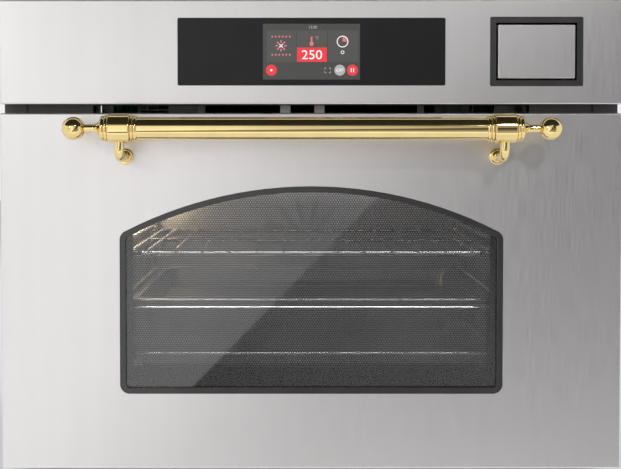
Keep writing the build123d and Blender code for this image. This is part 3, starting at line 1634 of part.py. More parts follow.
with BuildPart() as terminal_block:
    with BuildSketch(front_plane(case_depth - case_sheet)):
        with Locations((gland_x, gland_z + terminal_rise)):
            RectangleRounded(terminal_width, terminal_height, terminal_corner)
    extrude(amount=terminal_depth)
    with BuildSketch(front_plane(case_depth - case_sheet - terminal_depth)):
        with Locations((gland_x, gland_z + terminal_rise)):
            with GridLocations(terminal_pitch, 0, terminal_count, 1):
                Rectangle(terminal_pocket_width, terminal_pocket_height)
    extrude(amount=-terminal_pocket_depth, mode=Mode.SUBTRACT)
terminal_block.part.label = "terminal_block"
export_step(terminal_block.part, "parts/terminal_block.step")

with BuildPart() as cable_gland:
    with BuildSketch(rear_plane(case_depth)):
        disc(-gland_x, gland_z, gland_radius + gland_collar)
    extrude(amount=gland_collar_thickness)
    with BuildSketch(rear_plane(case_depth - gland_reach)):
        disc(-gland_x, gland_z, gland_radius)
    extrude(amount=gland_length + gland_reach)
    chamfer(cable_gland.edges().sort_by(Axis.Y)[-1], gland_edge)
    with BuildSketch(rear_plane(case_depth - gland_reach)):
        disc(-gland_x, gland_z, gland_bore)
    extrude(amount=gland_length + gland_reach, mode=Mode.SUBTRACT)
cable_gland.part.label = "cable_gland"
export_step(cable_gland.part, "parts/cable_gland.step")

# Hinges: in each housing a nose of two plates holds the pin on which the door arm turns

with BuildPart() as hinge_housings:
    inner = hinge_arm / 2 + hinge_side_gap
    with BuildSketch(front_plane(frame_back)):
        half = hinge_housing_width / 2
        top = case_sheet + hinge_housing_height
        span(hinge_x - half, hinge_x + half, case_sheet, top, hinge_plate)
    extrude(amount=-hinge_housing_length)
    with BuildSketch(side_plane(hinge_x - hinge_housing_width / 2)):
        start = frame_back + spring_slot_inset
        end = frame_back + hinge_housing_length - spring_slot_inset
        top = spring_slot_low + spring_slot_height
        span(start, end, spring_slot_low, top, hinge_plate_corner)
    extrude(amount=hinge_housing_width, mode=Mode.SUBTRACT)
    for plate_x in (hinge_x - inner - hinge_plate, hinge_x + inner):
        with BuildSketch(side_plane(plate_x)):
            low = hinge_z - hinge_nose_radius
            span(hinge_y, frame_back + 1, low, low + 2 * hinge_nose_radius)
            disc(hinge_y, hinge_z, hinge_nose_radius)
        extrude(amount=hinge_plate)
    with BuildSketch(side_plane(hinge_x - inner - hinge_plate)):
        disc(hinge_y, hinge_z, hinge_pin_radius)
    extrude(amount=2 * (inner + hinge_plate))
    mirror(about=Plane.YZ)
hinge_housings.part.label = "hinge_housings"
export_step(hinge_housings.part, "parts/hinge_housings.step")

with BuildPart() as hinge_arms:
    with BuildSketch(side_plane(hinge_x - hinge_arm / 2)):
        disc(hinge_y, hinge_z, hinge_arm_radius)
        half = hinge_arm_width / 2
        span(hinge_y - half, hinge_y + half, hinge_z, hinge_arm_top)
        disc(hinge_y, hinge_z, hinge_pin_radius + hinge_pin_fit, Mode.SUBTRACT)
    extrude(amount=hinge_arm)
    with BuildSketch(front_plane(skin_back_y)):
        half = hinge_housing_width / 2
        low = pan_foot + hinge_plate_inset
        high = hinge_arm_top - hinge_plate_drop
        span(hinge_x - half, hinge_x + half, low, high, hinge_plate_corner)
    extrude(amount=pan_sheet)
    mirror(about=Plane.YZ)
hinge_arms.part.label = "hinge_arms"
export_step(hinge_arms.part, "parts/hinge_arms.step")

# Interlock tongues on the door and the switch blocks that they enter
pan_back_y = skin_back_y + pan_sheet
with BuildPart() as interlock_tongues:
    with BuildSketch(front_plane(pan_back_y)):
        with Locations((tongue_x, tongue_z)):
            RectangleRounded(tongue_base_width, tongue_base_height, tongue_nose)
    extrude(amount=-tongue_base_thickness)
    with BuildSketch(side_plane(tongue_x - tongue_width / 2)):
        with BuildLine():
            half = tongue_height / 2
            tip = pan_back_y + tongue_length
            Polyline(
                (pan_back_y, tongue_z - half),
                (tip, tongue_z - half),
                (tip, tongue_z + half - tongue_nose),
                (tip - tongue_nose, tongue_z + half),
                (tip - tongue_notch_start, tongue_z + half),
                (tip - tongue_notch_start, tongue_z + half - tongue_notch_depth),
                (tip - tongue_notch_end, tongue_z + half - tongue_notch_depth),
                (tip - tongue_notch_end, tongue_z + half),
                (pan_back_y, tongue_z + half),
                close=True,
            )
        make_face()
    extrude(amount=tongue_width)
    mirror(about=Plane.YZ)
interlock_tongues.part.label = "interlock_tongues"
export_step(interlock_tongues.part, "parts/interlock_tongues.step")

with BuildPart() as interlock_switches:
    switch_half_width = tongue_width / 2 + tongue_room + switch_wall
    with BuildSketch(front_plane(frame_back)):
        with Locations((tongue_x, tongue_z - switch_drop)):
            RectangleRounded(2 * switch_half_width, switch_height, tongue_notch_depth)
    extrude(amount=-switch_depth)
    with BuildSketch(front_plane(frame_back)):
        with Locations((tongue_x, tongue_z)):
            Rectangle(tongue_width + 2 * tongue_room, tongue_height + 2 * tongue_room)
    extrude(amount=-(tongue_length - frame_back + switch_end_room), mode=Mode.SUBTRACT)
    mirror(about=Plane.YZ)
interlock_switches.part.label = "interlock_switches"
export_step(interlock_switches.part, "parts/interlock_switches.step")

# Door

with BuildPart() as door_skin:
    add(folded_front(door_bottom, door_top))
    extrude(window_outline(trim_fit, face_y), amount=-skin_sheet, mode=Mode.SUBTRACT)
    notch_half = nose_half + 2 * hinge_slot_gap
    with BuildSketch(level_plane(door_bottom - 1)):
        for side in (-1, 1):
            x = side * hinge_x
            front = hinge_y - hinge_arm_radius - 2
            span(x - notch_half, x + notch_half, front, skin_back_y + 1)
    extrude(amount=skin_lip + 2, mode=Mode.SUBTRACT)
door_skin.part.label = "door_skin"
export_step(door_skin.part, "parts/door_skin.step")

# Trim round the window: a ring in the opening with a flange behind the steel
trim_front = face_y + trim_recess
trim_back = skin_inner_y + trim_flange_thickness
with BuildPart() as window_trim:
    extrude(window_outline(0, trim_front), amount=-(trim_back - trim_front))
    extrude(window_outline(trim_flange, skin_inner_y), amount=-trim_flange_thickness)
    extrude(
        window_outline(-trim_width, trim_front),
        amount=-(trim_back - trim_front),
        mode=Mode.SUBTRACT,
    )
    mouth = window_trim.faces().sort_by(Axis.Y)[0].edges()
    chamfer(mouth, 0.4)
window_trim.part.label = "window_trim"
export_step(window_trim.part, "parts/window_trim.step")

with BuildPart() as window_glass:
    extrude(window_outline(trim_flange, trim_back), amount=-glass_thickness)
window_glass.part.label = "window_glass"
export_step(window_glass.part, "parts/window_glass.step")

# Pan: flange behind the skin's lips and a raised box that reaches into the choke gap
pan_half = half_front - pan_side_margin
pan_top = door_top - pan_top_margin
box_back = frame_setback - pan_seat
with BuildPart() as door_inner_frame:
    with BuildSketch(front_plane(skin_back_y)):
        span(-pan_half, pan_half, pan_foot, pan_top, pan_corner)
    extrude(amount=-pan_sheet)
    extrude(ring_outline(choke_overlap, skin_back_y, choke_corner), amount=skin_back_y - box_back)
    extrude(
        ring_outline(choke_overlap - pan_sheet, skin_back_y, choke_corner - pan_sheet),
        amount=skin_back_y - box_back + pan_sheet,
        mode=Mode.SUBTRACT,
    )
    extrude(view_outline(0, box_back), amount=2 * pan_sheet, mode=Mode.SUBTRACT)
    fillet(door_inner_frame.edges().group_by(Axis.Y)[-1], pan_edge)
door_inner_frame.part.label = "door_inner_frame"
export_step(door_inner_frame.part, "parts/door_inner_frame.step")

# Screen: a perforated sheet on the pan's flange, with a wall that backs the inner glass
inner_glass_back = box_back - pan_sheet
inner_glass_front = inner_glass_back - glass_thickness
with BuildPart() as choke_screen:
    screen_outline = ring_outline(choke_overlap + screen_lap, skin_back_y, choke_corner + screen_lap)
    extrude(screen_outline, amount=screen_sheet)
    extrude(
        view_outline(screen_wall, skin_back_y - screen_sheet / 2),
        amount=-(inner_glass_front - glass_gap - skin_back_y + screen_sheet / 2),
    )
    extrude(
        view_outline(0, skin_back_y),
        amount=-(inner_glass_front - glass_gap - skin_back_y),
        mode=Mode.SUBTRACT,
    )
choke_screen.part.label = "choke_screen"
export_step(choke_screen.part, "parts/choke_screen.step")

with BuildPart() as inner_glass:
    extrude(view_outline(inner_glass_lap, inner_glass_front), amount=-glass_thickness)
inner_glass.part.label = "inner_glass"
export_step(inner_glass.part, "parts/inner_glass.step")

# Handle

handle_y = face_y - handle_standoff
handle_z = door_top - handle_drop
collar_x = collar_pitch / 2
foot_z = handle_z - stem_drop
handle_axis = Axis((0, handle_y, handle_z), (1, 0, 0))
collar_face = collar_x + collar_length / 2
bar_end = collar_x - collar_length / 4
with BuildPart() as handle_bar:
    with BuildSketch(side_plane(-bar_end)):
        disc(handle_y, handle_z, bar_radius)
    extrude(amount=2 * bar_end)
handle_bar.part.label = "handle_bar"
export_step(handle_bar.part, "parts/handle_bar.step")

inner_face = collar_x - collar_length / 2
inner_end = inner_face - 2 * bead_width
inner_groove = handle_z + bar_radius + bar_fit + bead_wall
collar_top = handle_z + collar_radius
with BuildPart() as handle_brackets:
    with BuildLine(side_plane(collar_x)) as stem_path:
        FilletPolyline(
            (handle_y, collar_top - 2 * collar_radius + stem_grip),
            (handle_y, foot_z),
            (face_y, foot_z),
            radius=stem_bend,
        )
    with BuildSketch(Plane(origin=stem_path.line @ 0, z_dir=stem_path.line % 0)):
        Circle(stem_radius)
    sweep()
    with BuildSketch(front_plane(face_y)):
        disc(collar_x, foot_z, rosette_radius)
    extrude(amount=rosette_thickness)
    rosette = handle_brackets.faces().filter_by(Axis.Y).sort_by(Axis.Y)[0]
    fillet(rosette.edges(), rosette_edge)
    with BuildSketch(front_plane(handle_y)):
        with BuildLine():
            Line((inner_end, handle_z), (inner_end, inner_groove))
            for count, radius in enumerate(inner_bead_radii):
                bead_start = inner_face - bead_width * (count + 1)
                bead(bead_start, bead_width, inner_groove, handle_z + radius)
            Line((inner_face, inner_groove), (inner_face, collar_top - collar_edge))
            inner_rim = (inner_face + collar_edge, collar_top)
            TangentArc((inner_face, collar_top - collar_edge), inner_rim, tangent=(0, 1))
            outer_rim = (collar_face - collar_edge, collar_top)
            Line(inner_rim, outer_rim)
            TangentArc(outer_rim, (collar_face, collar_top - collar_edge), tangent=(1, 0))
            Polyline(
                (collar_face, collar_top - collar_edge),
                (collar_face, handle_z),
                (inner_end, handle_z),
            )
        make_face()
    revolve(axis=handle_axis)
    with BuildSketch(side_plane(0)):
        disc(handle_y, handle_z, bar_radius + bar_fit)
    extrude(amount=bar_end + bar_end_room, mode=Mode.SUBTRACT)
    mirror(about=Plane.YZ)
handle_brackets.part.label = "handle_brackets"
export_step(handle_brackets.part, "parts/handle_brackets.step")

# Finial: two beads, a flare down to a thin neck, and a ball, turned in one piece
bead_end = collar_face + 2 * bead_width
outer_groove = handle_z + outer_groove_radius
neck_end = collar_x + ball_offset - math.sqrt(ball_radius**2 - neck_radius**2)
with BuildPart() as handle_finials:
    with BuildSketch(front_plane(handle_y)):
        with BuildLine():
            Line((collar_face, handle_z), (collar_face, outer_groove))
            for count, radius in enumerate(outer_bead_radii):
                bead_start = collar_face + bead_width * count
                bead(bead_start, bead_width, outer_groove, handle_z + radius)
            Line((bead_end, outer_groove), (bead_end, handle_z + flare_radius))
            flare = Spline(
                (bead_end, handle_z + flare_radius),
                (collar_x + neck_start, handle_z + neck_radius),
                tangents=((1, -1), (1, 0)),
            )
            neck = Line(flare @ 1, (neck_end, handle_z + neck_radius))
            ball_centre = collar_x + ball_offset
            ball_top = (ball_centre, handle_z + ball_radius)
            ball = ThreePointArc(neck @ 1, ball_top, (ball_centre + ball_radius, handle_z))
            Line(ball @ 1, (collar_face, handle_z))
        make_face()
    revolve(axis=handle_axis)
    mirror(about=Plane.YZ)
handle_finials.part.label = "handle_finials"
export_step(handle_finials.part, "parts/handle_finials.step")
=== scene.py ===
import math

import bmesh
import bpy
from mathutils import Matrix, Vector


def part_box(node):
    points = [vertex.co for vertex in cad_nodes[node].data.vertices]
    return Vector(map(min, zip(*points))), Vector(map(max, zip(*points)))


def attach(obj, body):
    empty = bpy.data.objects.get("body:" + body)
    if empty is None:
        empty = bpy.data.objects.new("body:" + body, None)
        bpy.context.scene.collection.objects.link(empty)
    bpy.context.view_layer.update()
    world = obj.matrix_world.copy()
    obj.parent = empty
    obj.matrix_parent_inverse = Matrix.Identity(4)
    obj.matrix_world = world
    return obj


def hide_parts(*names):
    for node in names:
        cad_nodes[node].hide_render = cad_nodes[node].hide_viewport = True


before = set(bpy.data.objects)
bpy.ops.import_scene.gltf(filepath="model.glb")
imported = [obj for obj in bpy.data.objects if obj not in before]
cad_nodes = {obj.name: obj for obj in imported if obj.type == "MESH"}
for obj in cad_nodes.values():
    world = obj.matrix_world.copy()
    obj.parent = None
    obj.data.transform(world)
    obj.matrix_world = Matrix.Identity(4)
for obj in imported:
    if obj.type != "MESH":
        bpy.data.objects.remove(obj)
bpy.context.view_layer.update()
scene = bpy.context.scene
scene.view_settings.view_transform = "Standard"
MM = 0.001

# Camera at the photograph's viewpoint: level with the handle, a little left of the middle
camera_place = (-0.0175, -1.322, 0.3204)
camera_tilt = math.radians(90 - 2.04)
camera_data = bpy.data.cameras.new("camera")
camera_data.lens = 78.85
camera_data.shift_x = 0.028
camera_data.shift_y = -0.0725
camera = bpy.data.objects.new("camera", camera_data)
camera.location = camera_place
camera.rotation_euler = (camera_tilt, 0, 0)
scene.collection.objects.link(camera)
scene.camera = camera


# World: pale wherever it is seen, softer where it lights the object
def make_world():
    world = bpy.data.worlds.new("studio")
    world.use_nodes = True
    tree = world.node_tree
    light = tree.nodes["Background"]
    light.inputs["Color"].default_value = (0.93, 0.94, 0.96, 1)
    light.inputs["Strength"].default_value = 0.62
    seen = tree.nodes.new("ShaderNodeBackground")
    seen.inputs["Color"].default_value = (0.90, 0.90, 0.91, 1)
    seen.inputs["Strength"].default_value = 1.0
    path = tree.nodes.new("ShaderNodeLightPath")
    camera_or_glossy = tree.nodes.new("ShaderNodeMath")
    camera_or_glossy.operation = "MAXIMUM"
    any_seen = tree.nodes.new("ShaderNodeMath")
    any_seen.operation = "MAXIMUM"
    mix = tree.nodes.new("ShaderNodeMixShader")
    link = tree.links.new
    link(path.outputs["Is Camera Ray"], camera_or_glossy.inputs[0])
    link(path.outputs["Is Glossy Ray"], camera_or_glossy.inputs[1])
    link(camera_or_glossy.outputs[0], any_seen.inputs[0])
    link(path.outputs["Is Transmission Ray"], any_seen.inputs[1])
    link(any_seen.outputs[0], mix.inputs[0])
    link(light.outputs[0], mix.inputs[1])
    link(seen.outputs[0], mix.inputs[2])
    link(mix.outputs[0], tree.nodes["World Output"].inputs["Surface"])
    scene.world = world


make_world()


def add_area_lamp(name, place, target, size, power, in_reflections=False):
    data = bpy.data.lights.new(name, "AREA")
    data.shape = "DISK"
    data.size = size
    data.energy = power
    lamp = bpy.data.objects.new(name, data)
    lamp.location = place
    direction = Vector(target) - Vector(place)
    lamp.rotation_euler = direction.to_track_quat("-Z", "Y").to_euler()
    lamp.visible_glossy = in_reflections
    scene.collection.objects.link(lamp)
    return lamp


# Lamps: a large key from the upper left, a weak fill from the right, one from behind, and two
# small ones that the brass mirrors as sparks
middle = (0, 0.2, 0.2)
add_area_lamp("key_lamp", (-1.5, -1.9, 1.7), middle, 1.3, 34)
add_area_lamp("fill_lamp", (1.7, -1.3, 1.0), middle, 1.3, 12)
add_area_lamp("back_lamp", (0.6, 2.2, 1.6), middle, 1.5, 22)
add_area_lamp("sparkle_lamp", (0.42, -1.25, 0.98), (0, 0, 0.33), 0.10, 1.5, in_reflections=True)
add_area_lamp("spark_lamp", (-0.85, -1.25, 0.62), (-0.2, 0, 0.33), 0.08, 1, in_reflections=True)


def add_cavity_lamp(name, place, power, colour, radius):
    data = bpy.data.lights.new(name, "POINT")
    data.energy = power
    data.color = colour
    data.shadow_soft_size = radius
    lamp = bpy.data.objects.new(name, data)
    lamp.location = place
    lamp.visible_glossy = True
    scene.collection.objects.link(lamp)


# The oven's own lamp, just in front of its glass on the left wall
lamp_low, lamp_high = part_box("lamp_glass")
lamp_middle = (lamp_low + lamp_high) / 2
bulb_radius = 8 * MM
bulb_stand_off = 12 * MM
add_cavity_lamp("oven_lamp", (lamp_high.x + bulb_stand_off, lamp_middle.y, lamp_middle.z), 0.35,
                (1.0, 0.80, 0.55), bulb_radius)


def add_strip_lamp(name, place, target, length, width, power):
    """A long lamp across the cavity, which the camera doesn't see but polished edges mirror."""
    lamp = add_area_lamp(name, place, target, length, power, in_reflections=True)
    lamp.data.shape = "RECTANGLE"
    lamp.data.size_y = width
    lamp.visible_camera = False
    lamp.visible_transmission = False
    return lamp


# One strip at the mouth draws the rims of the shelf and trays, and one washes the back wall
add_strip_lamp("mouth_strip", (0, 0.015, 0.284), (0, 0.05, 0.10), 0.36, 0.012, 0.26)
wall_wash = add_strip_lamp("wall_wash", (0, 0.325, 0.262), (0, 0.387, 0.225), 0.30, 0.03, 0.32)
wall_wash.visible_glossy = False


class Finish:
    """A material around one Principled shader, with short calls for its procedural detail."""

    def __init__(self, name, colour, roughness, metallic=0.0, **sockets):
        self.material = bpy.data.materials.new(name)
        self.material.use_nodes = True
        self.tree = self.material.node_tree
        self.shader = self.tree.nodes["Principled BSDF"]
        self.shader.inputs["Base Color"].default_value = (*colour, 1)
        self.shader.inputs["Roughness"].default_value = roughness
        self.shader.inputs["Metallic"].default_value = metallic
        for socket, value in sockets.items():
            self.shader.inputs[socket.replace("_", " ")].default_value = value

    def node(self, kind, **values):
        made = self.tree.nodes.new(kind)
        for name, value in values.items():
            if name in made.inputs:
                made.inputs[name].default_value = value
            else:
                setattr(made, name, value)
        return made

    def link(self, source, target):
        self.tree.links.new(source, target)

    def noise(self, size, stretch=(1, 1, 1), detail=3.0, roughness=0.5):
        """Noise whose grains are about size metres across, longer along the stretched axes."""
        place = self.node("ShaderNodeTexCoord")
        mapping = self.node("ShaderNodeMapping")
        mapping.inputs["Scale"].default_value = [1 / (size * s) for s in stretch]
        noise = self.node("ShaderNodeTexNoise", Scale=1.0, Detail=detail, Roughness=roughness)
        self.link(place.outputs["Object"], mapping.inputs["Vector"])
        self.link(mapping.outputs[0], noise.inputs["Vector"])
        return noise.outputs["Fac"]

    def cells(self, size, stretch=(1, 1, 1)):
        place = self.node("ShaderNodeTexCoord")
        mapping = self.node("ShaderNodeMapping")
        mapping.inputs["Scale"].default_value = [1 / (size * s) for s in stretch]
        cells = self.node("ShaderNodeTexVoronoi", Scale=1.0)
        self.link(place.outputs["Object"], mapping.inputs["Vector"])
        self.link(mapping.outputs[0], cells.inputs["Vector"])
        return cells.outputs["Color"]

    def vary_colour(self, factor, low, high, start=0.35, end=0.65):
        ramp = self.node("ShaderNodeValToRGB")
        ramp.color_ramp.elements[0].position = start
        ramp.color_ramp.elements[0].color = (*low, 1)
        ramp.color_ramp.elements[1].position = end
        ramp.color_ramp.elements[1].color = (*high, 1)
        self.link(factor, ramp.inputs[0])
        self.link(ramp.outputs[0], self.shader.inputs["Base Color"])
        return self

    def vary_roughness(self, factor, low, high, start=0.3, end=0.7):
        spread = self.node("ShaderNodeMapRange")
        spread.inputs["From Min"].default_value = start
        spread.inputs["From Max"].default_value = end
        spread.inputs["To Min"].default_value = low
        spread.inputs["To Max"].default_value = high
        self.link(factor, spread.inputs["Value"])
        self.link(spread.outputs["Result"], self.shader.inputs["Roughness"])
        return self

    def bump(self, factor, depth, strength=0.5):
        bump = self.node("ShaderNodeBump", Strength=strength, Distance=depth)
        self.link(factor, bump.inputs["Height"])
        self.link(bump.outputs[0], self.shader.inputs["Normal"])
        return self


def shade(colour, factor):
    return tuple(channel * factor for channel in colour)


def sheet_metal(name, colour, roughness, brushed, grain=0.0005, contrast=0.04):
    """Sheet brushed along one axis, its roughness and tone changing from streak to streak."""
    finish = Finish(name, colour, roughness, 1.0)
    streaks = finish.noise(grain, brushed, detail=4)
    clouds = finish.noise(grain * 30, brushed, detail=2)
    finish.vary_colour(clouds, shade(colour, 1 - contrast), shade(colour, 1 + contrast / 2))
    finish.vary_roughness(streaks, roughness * 0.85, roughness * 1.2)
    finish.bump(streaks, 0.00002, 0.25)
    return finish


def moulding(name, colour, roughness, grain=0.0008, depth=0.00003, specular=0.5):
    """Moulded plastic or enamel with a fine skin texture."""
    finish = Finish(name, colour, roughness, Specular_IOR_Level=specular)
    skin = finish.noise(grain, detail=2)
    clouds = finish.noise(0.03, detail=2)
    finish.vary_colour(clouds, shade(colour, 0.88), shade(colour, 1.1))
    finish.vary_roughness(skin, roughness * 0.8, roughness * 1.2)
    finish.bump(skin, depth, 0.3)
    return finish


upright = (1, 1, 60)
lengthways = (60, 1, 1)
inwards = (1, 60, 1)


def galvanised():
    """Hot dip galvanised sheet, with its spangle of zinc crystals."""
    colour = (0.52, 0.54, 0.56)
    finish = Finish("galvanised_sheet", colour, 0.42, 1.0)
    spangle = finish.cells(0.009)
    finish.vary_colour(spangle, shade(colour, 0.82), shade(colour, 1.14), 0.1, 0.9)
    finish.vary_roughness(spangle, 0.34, 0.52, 0.1, 0.9)
    finish.bump(finish.noise(0.002, detail=3), 0.00004, 0.2)
    return finish


def polished_brass():
    colour = (0.90, 0.71, 0.33)
    finish = Finish("polished_brass", colour, 0.07, 1.0)
    finish.vary_colour(finish.noise(0.02, detail=3), shade(colour, 0.96), shade(colour, 1.03))
    finish.vary_roughness(finish.noise(0.004, detail=5), 0.05, 0.10)
    return finish


def smoked_glass():
    finish = Finish("smoked_glass", (0.86, 0.86, 0.86), 0.0, 0.0, IOR=1.62)
    finish.shader.inputs["Transmission Weight"].default_value = 1.0
    finish.vary_roughness(finish.noise(0.03, detail=4), 0.0, 0.02)
    return finish


def printed_glass():
    colour = (0.011, 0.011, 0.012)
    finish = Finish("printed_glass", colour, 0.05, 0.0, IOR=1.28)
    finish.vary_colour(finish.noise(0.05, detail=2), shade(colour, 0.9), shade(colour, 1.1))
    finish.vary_roughness(finish.noise(0.02, detail=4), 0.035, 0.075)
    return finish


def mineral_wool():
    colour = (0.62, 0.55, 0.36)
    finish = Finish("mineral_wool", colour, 0.95)
    fibres = finish.noise(0.0018, (4, 4, 1), detail=6, roughness=0.7)
    finish.vary_colour(fibres, shade(colour, 0.55), shade(colour, 1.2))
    finish.bump(fibres, 0.0012, 0.8)
    return finish


def heated_sheath():
    """Heater tube that has gone dark, with straw and blue tints from its heat."""
    finish = Finish("heater_sheath", (0.12, 0.10, 0.09), 0.45, 0.9)
    finish.vary_colour(finish.noise(0.02, detail=4), (0.06, 0.055, 0.06), (0.24, 0.18, 0.12))
    finish.bump(finish.noise(0.0006, detail=4), 0.00005, 0.4)
    return finish


def circuit_board():
    colour = (0.02, 0.13, 0.06)
    finish = Finish("circuit_board", colour, 0.32)
    tracks = finish.noise(0.0022, (1, 1, 5), detail=1)
    finish.vary_colour(tracks, shade(colour, 0.7), (0.05, 0.24, 0.11), 0.48, 0.52)
    finish.bump(tracks, 0.00006, 0.4)
    return finish


def clear_plastic():
    finish = Finish("tank_plastic", (0.62, 0.68, 0.72), 0.12, 0.0, IOR=1.4)
    finish.shader.inputs["Transmission Weight"].default_value = 0.7
    finish.vary_roughness(finish.noise(0.01, detail=3), 0.08, 0.2)
    finish.bump(finish.noise(0.004, detail=2), 0.00005, 0.2)
    return finish


def pressed_mica():
    colour = (0.56, 0.50, 0.40)
    finish = Finish("pressed_mica", colour, 0.45)
    flakes = finish.cells(0.004)
    finish.vary_colour(flakes, shade(colour, 0.8), shade(colour, 1.2), 0.1, 0.9)
    finish.bump(flakes, 0.0001, 0.3)
    return finish


def frosted_glass():
    finish = Finish("frosted_glass", (0.95, 0.93, 0.86), 0.35, 0.0, IOR=1.45)
    finish.shader.inputs["Transmission Weight"].default_value = 0.6
    finish.shader.inputs["Emission Color"].default_value = (1.0, 0.72, 0.40, 1)
    finish.shader.inputs["Emission Strength"].default_value = 1.2
    finish.vary_roughness(finish.noise(0.003, detail=3), 0.28, 0.45)
    finish.bump(finish.noise(0.002, detail=3), 0.0002, 0.4)
    return finish


FINISHES = {
    "front_steel": sheet_metal("brushed_front", (0.82, 0.795, 0.795), 0.36, upright,
                               contrast=0.012),
    "handle_brass": polished_brass(),
    "door_glass": smoked_glass(),
    "display_glass": printed_glass(),
    "black_gloss": moulding("black_gloss", (0.030, 0.030, 0.031), 0.22, 0.002, 0.00001),
    "black_matt": moulding("black_matt", (0.022, 0.022, 0.024), 0.55),
    "screen_steel": moulding("screen_enamel", (0.007, 0.007, 0.007), 0.6, 0.001, specular=0.08),
    "pan_enamel": moulding("pan_enamel", (0.13, 0.13, 0.135), 0.30, 0.0015, 0.00002),
    "case_steel": galvanised(),
    "cavity_steel": sheet_metal("cavity_steel", (0.56, 0.55, 0.53), 0.34, (1, 1, 1), 0.0006),
    # The trays' dark steel tone is painted shade, standing in for the dim light inside the shut
    # oven.
    "tray_steel": sheet_metal("tray_steel", (0.17, 0.168, 0.165), 0.36, lengthways, 0.0004),
    "wire_chrome": sheet_metal("wire_chrome", (0.80, 0.79, 0.78), 0.12, inwards, 0.0003),
    "gasket_rubber": moulding("gasket_rubber", (0.045, 0.044, 0.044), 0.6, 0.0006),
    "mineral_wool": mineral_wool(),
    "heater_sheath": heated_sheath(),
    "fan_steel": sheet_metal("fan_steel", (0.52, 0.52, 0.51), 0.32, (1, 1, 1), 0.0008),
    "motor_metal": sheet_metal("motor_metal", (0.40, 0.41, 0.42), 0.45, inwards, 0.0006),
    "cast_aluminium": sheet_metal("cast_aluminium", (0.62, 0.63, 0.64), 0.42, (1, 1, 1), 0.001),
    "circuit_board": circuit_board(),
    "white_plastic": moulding("white_plastic", (0.66, 0.66, 0.63), 0.42),
    "tank_plastic": clear_plastic(),
    "mica": pressed_mica(),
    "lamp_glass": frosted_glass(),
    "hinge_steel": sheet_metal("hinge_steel", (0.42, 0.42, 0.43), 0.35, upright, 0.0006),
    "hose_rubber": moulding("hose_rubber", (0.26, 0.26, 0.27), 0.5),
}


def grille_with_painted_slot_shade():
    """Grey on the grille's face, with painted shade that darkens it to near black down in its
    slots.
    """
    face_colour, painted_slot_shade = (0.052, 0.052, 0.052), (0.006, 0.006, 0.006)
    shade_start, shade_end = 0.6 * MM, 2.5 * MM
    finish = moulding("vent_plastic_painted_shade", face_colour, 0.5)
    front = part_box("vent_grille")[0].y
    place = finish.node("ShaderNodeTexCoord")
    split = finish.node("ShaderNodeSeparateXYZ")
    spread = finish.node("ShaderNodeMapRange")
    spread.inputs["From Min"].default_value = front + shade_start
    spread.inputs["From Max"].default_value = front + shade_end
    finish.link(place.outputs["Object"], split.inputs[0])
    finish.link(split.outputs["Y"], spread.inputs["Value"])
    # Painted shade: the colour goes from the face grey to near black with depth into the slots.
    return finish.vary_colour(spread.outputs["Result"], face_colour, painted_slot_shade, 0.0, 1.0)


# Pieces that differ a little from the rest of their slot
NODE_FINISHES = {
    "vent_grille": grille_with_painted_slot_shade(),
    # The blower's rotor and housing get near black steel as painted shade, so the duct seen
    # through the grille's slots reads dark.
    "blower_rotor": sheet_metal("rotor_painted_shade", (0.05, 0.05, 0.052), 0.6, lengthways, 0.0008),
    "blower_housing": sheet_metal("duct_painted_shade", (0.035, 0.035, 0.037), 0.6, inwards, 0.0008),
}


def dress_nodes():
    """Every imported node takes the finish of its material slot, or its own."""
    for name, node in cad_nodes.items():
        for place in node.material_slots:
            slot_name = place.material.name
            place.material = NODE_FINISHES.get(name, FINISHES[slot_name]).material


dress_nodes()


# Pieces
def add_piece(name, mesh, finish, body, replaced=()):
    piece = bpy.data.objects.new(name, mesh)
    scene.collection.objects.link(piece)
    piece.data.materials.append(finish.material)
    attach(piece, body)
    if replaced:
        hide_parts(*replaced)
    return piece


def mesh_from(name, vertices, faces, smooth=False):
    mesh = bpy.data.meshes.new(name)
    mesh.from_pydata(vertices, [], faces)
    mesh.validate()
    if smooth:
        mesh.shade_smooth()
    return mesh


def rounded_box(left, right, low, high, radius, steps=6):
    """Outline of a rounded rectangle in the plane of the front, counter-clockwise."""
    points = []
    corners = [(right, high, 0), (left, high, 90), (left, low, 180), (right, low, 270)]
    for x, z, start in corners:
        centre_x = x - math.copysign(radius, x - (left + right) / 2)
        centre_z = z - math.copysign(radius, z - (low + high) / 2)
        for step in range(steps + 1):
            angle = math.radians(start + 90 * step / steps)
            points.append((centre_x + radius * math.cos(angle),
                           centre_z + radius * math.sin(angle)))
    return points


# Microwave screen: a frame sheet, a ring wall behind it and a net of six-sided holes
net_pitch = 2.4 * MM
net_bar = 0.62 * MM
net_half_width = 0.1752
net_low = 0.098
net_high = 0.2805
sheet_thickness = 0.6 * MM
sheet_corner = 27 * MM
hole_corner = 2 * MM


def net_of_holes(y):
    """One sheet of hexagonal cells, each with a hexagonal hole, joined at the cells' corners."""
    rise = net_pitch * math.sqrt(3) / 2
    outer = net_pitch / math.sqrt(3)
    inner = outer - net_bar / 2 / math.cos(math.radians(30))
    rows = int((net_high - net_low) / rise)
    columns = int(2 * net_half_width / net_pitch)
    directions = [(math.sin(math.radians(60 * k)), math.cos(math.radians(60 * k)))
                  for k in range(6)]
    vertices, faces, corner_index = [], [], {}
    for row in range(rows):
        z = net_low + rise * (row + 0.5)
        shift = net_pitch / 2 if row % 2 else 0.0
        for column in range(columns):
            x = -net_half_width + net_pitch * (column + 0.5) + shift
            ring = []
            for across, up in directions:
                corner = (x + outer * across, z + outer * up)
                key = (round(corner[0] / (0.05 * MM)), round(corner[1] / (0.05 * MM)))
                if key not in corner_index:
                    corner_index[key] = len(vertices)
                    vertices.append((corner[0], y, corner[1]))
                ring.append(corner_index[key])
            start = len(vertices)
            vertices += [(x + inner * across, y, z + inner * up) for across, up in directions]
            for k in range(6):
                after = (k + 1) % 6
                faces.append((ring[k], start + k, start + after, ring[after]))
    return vertices, faces


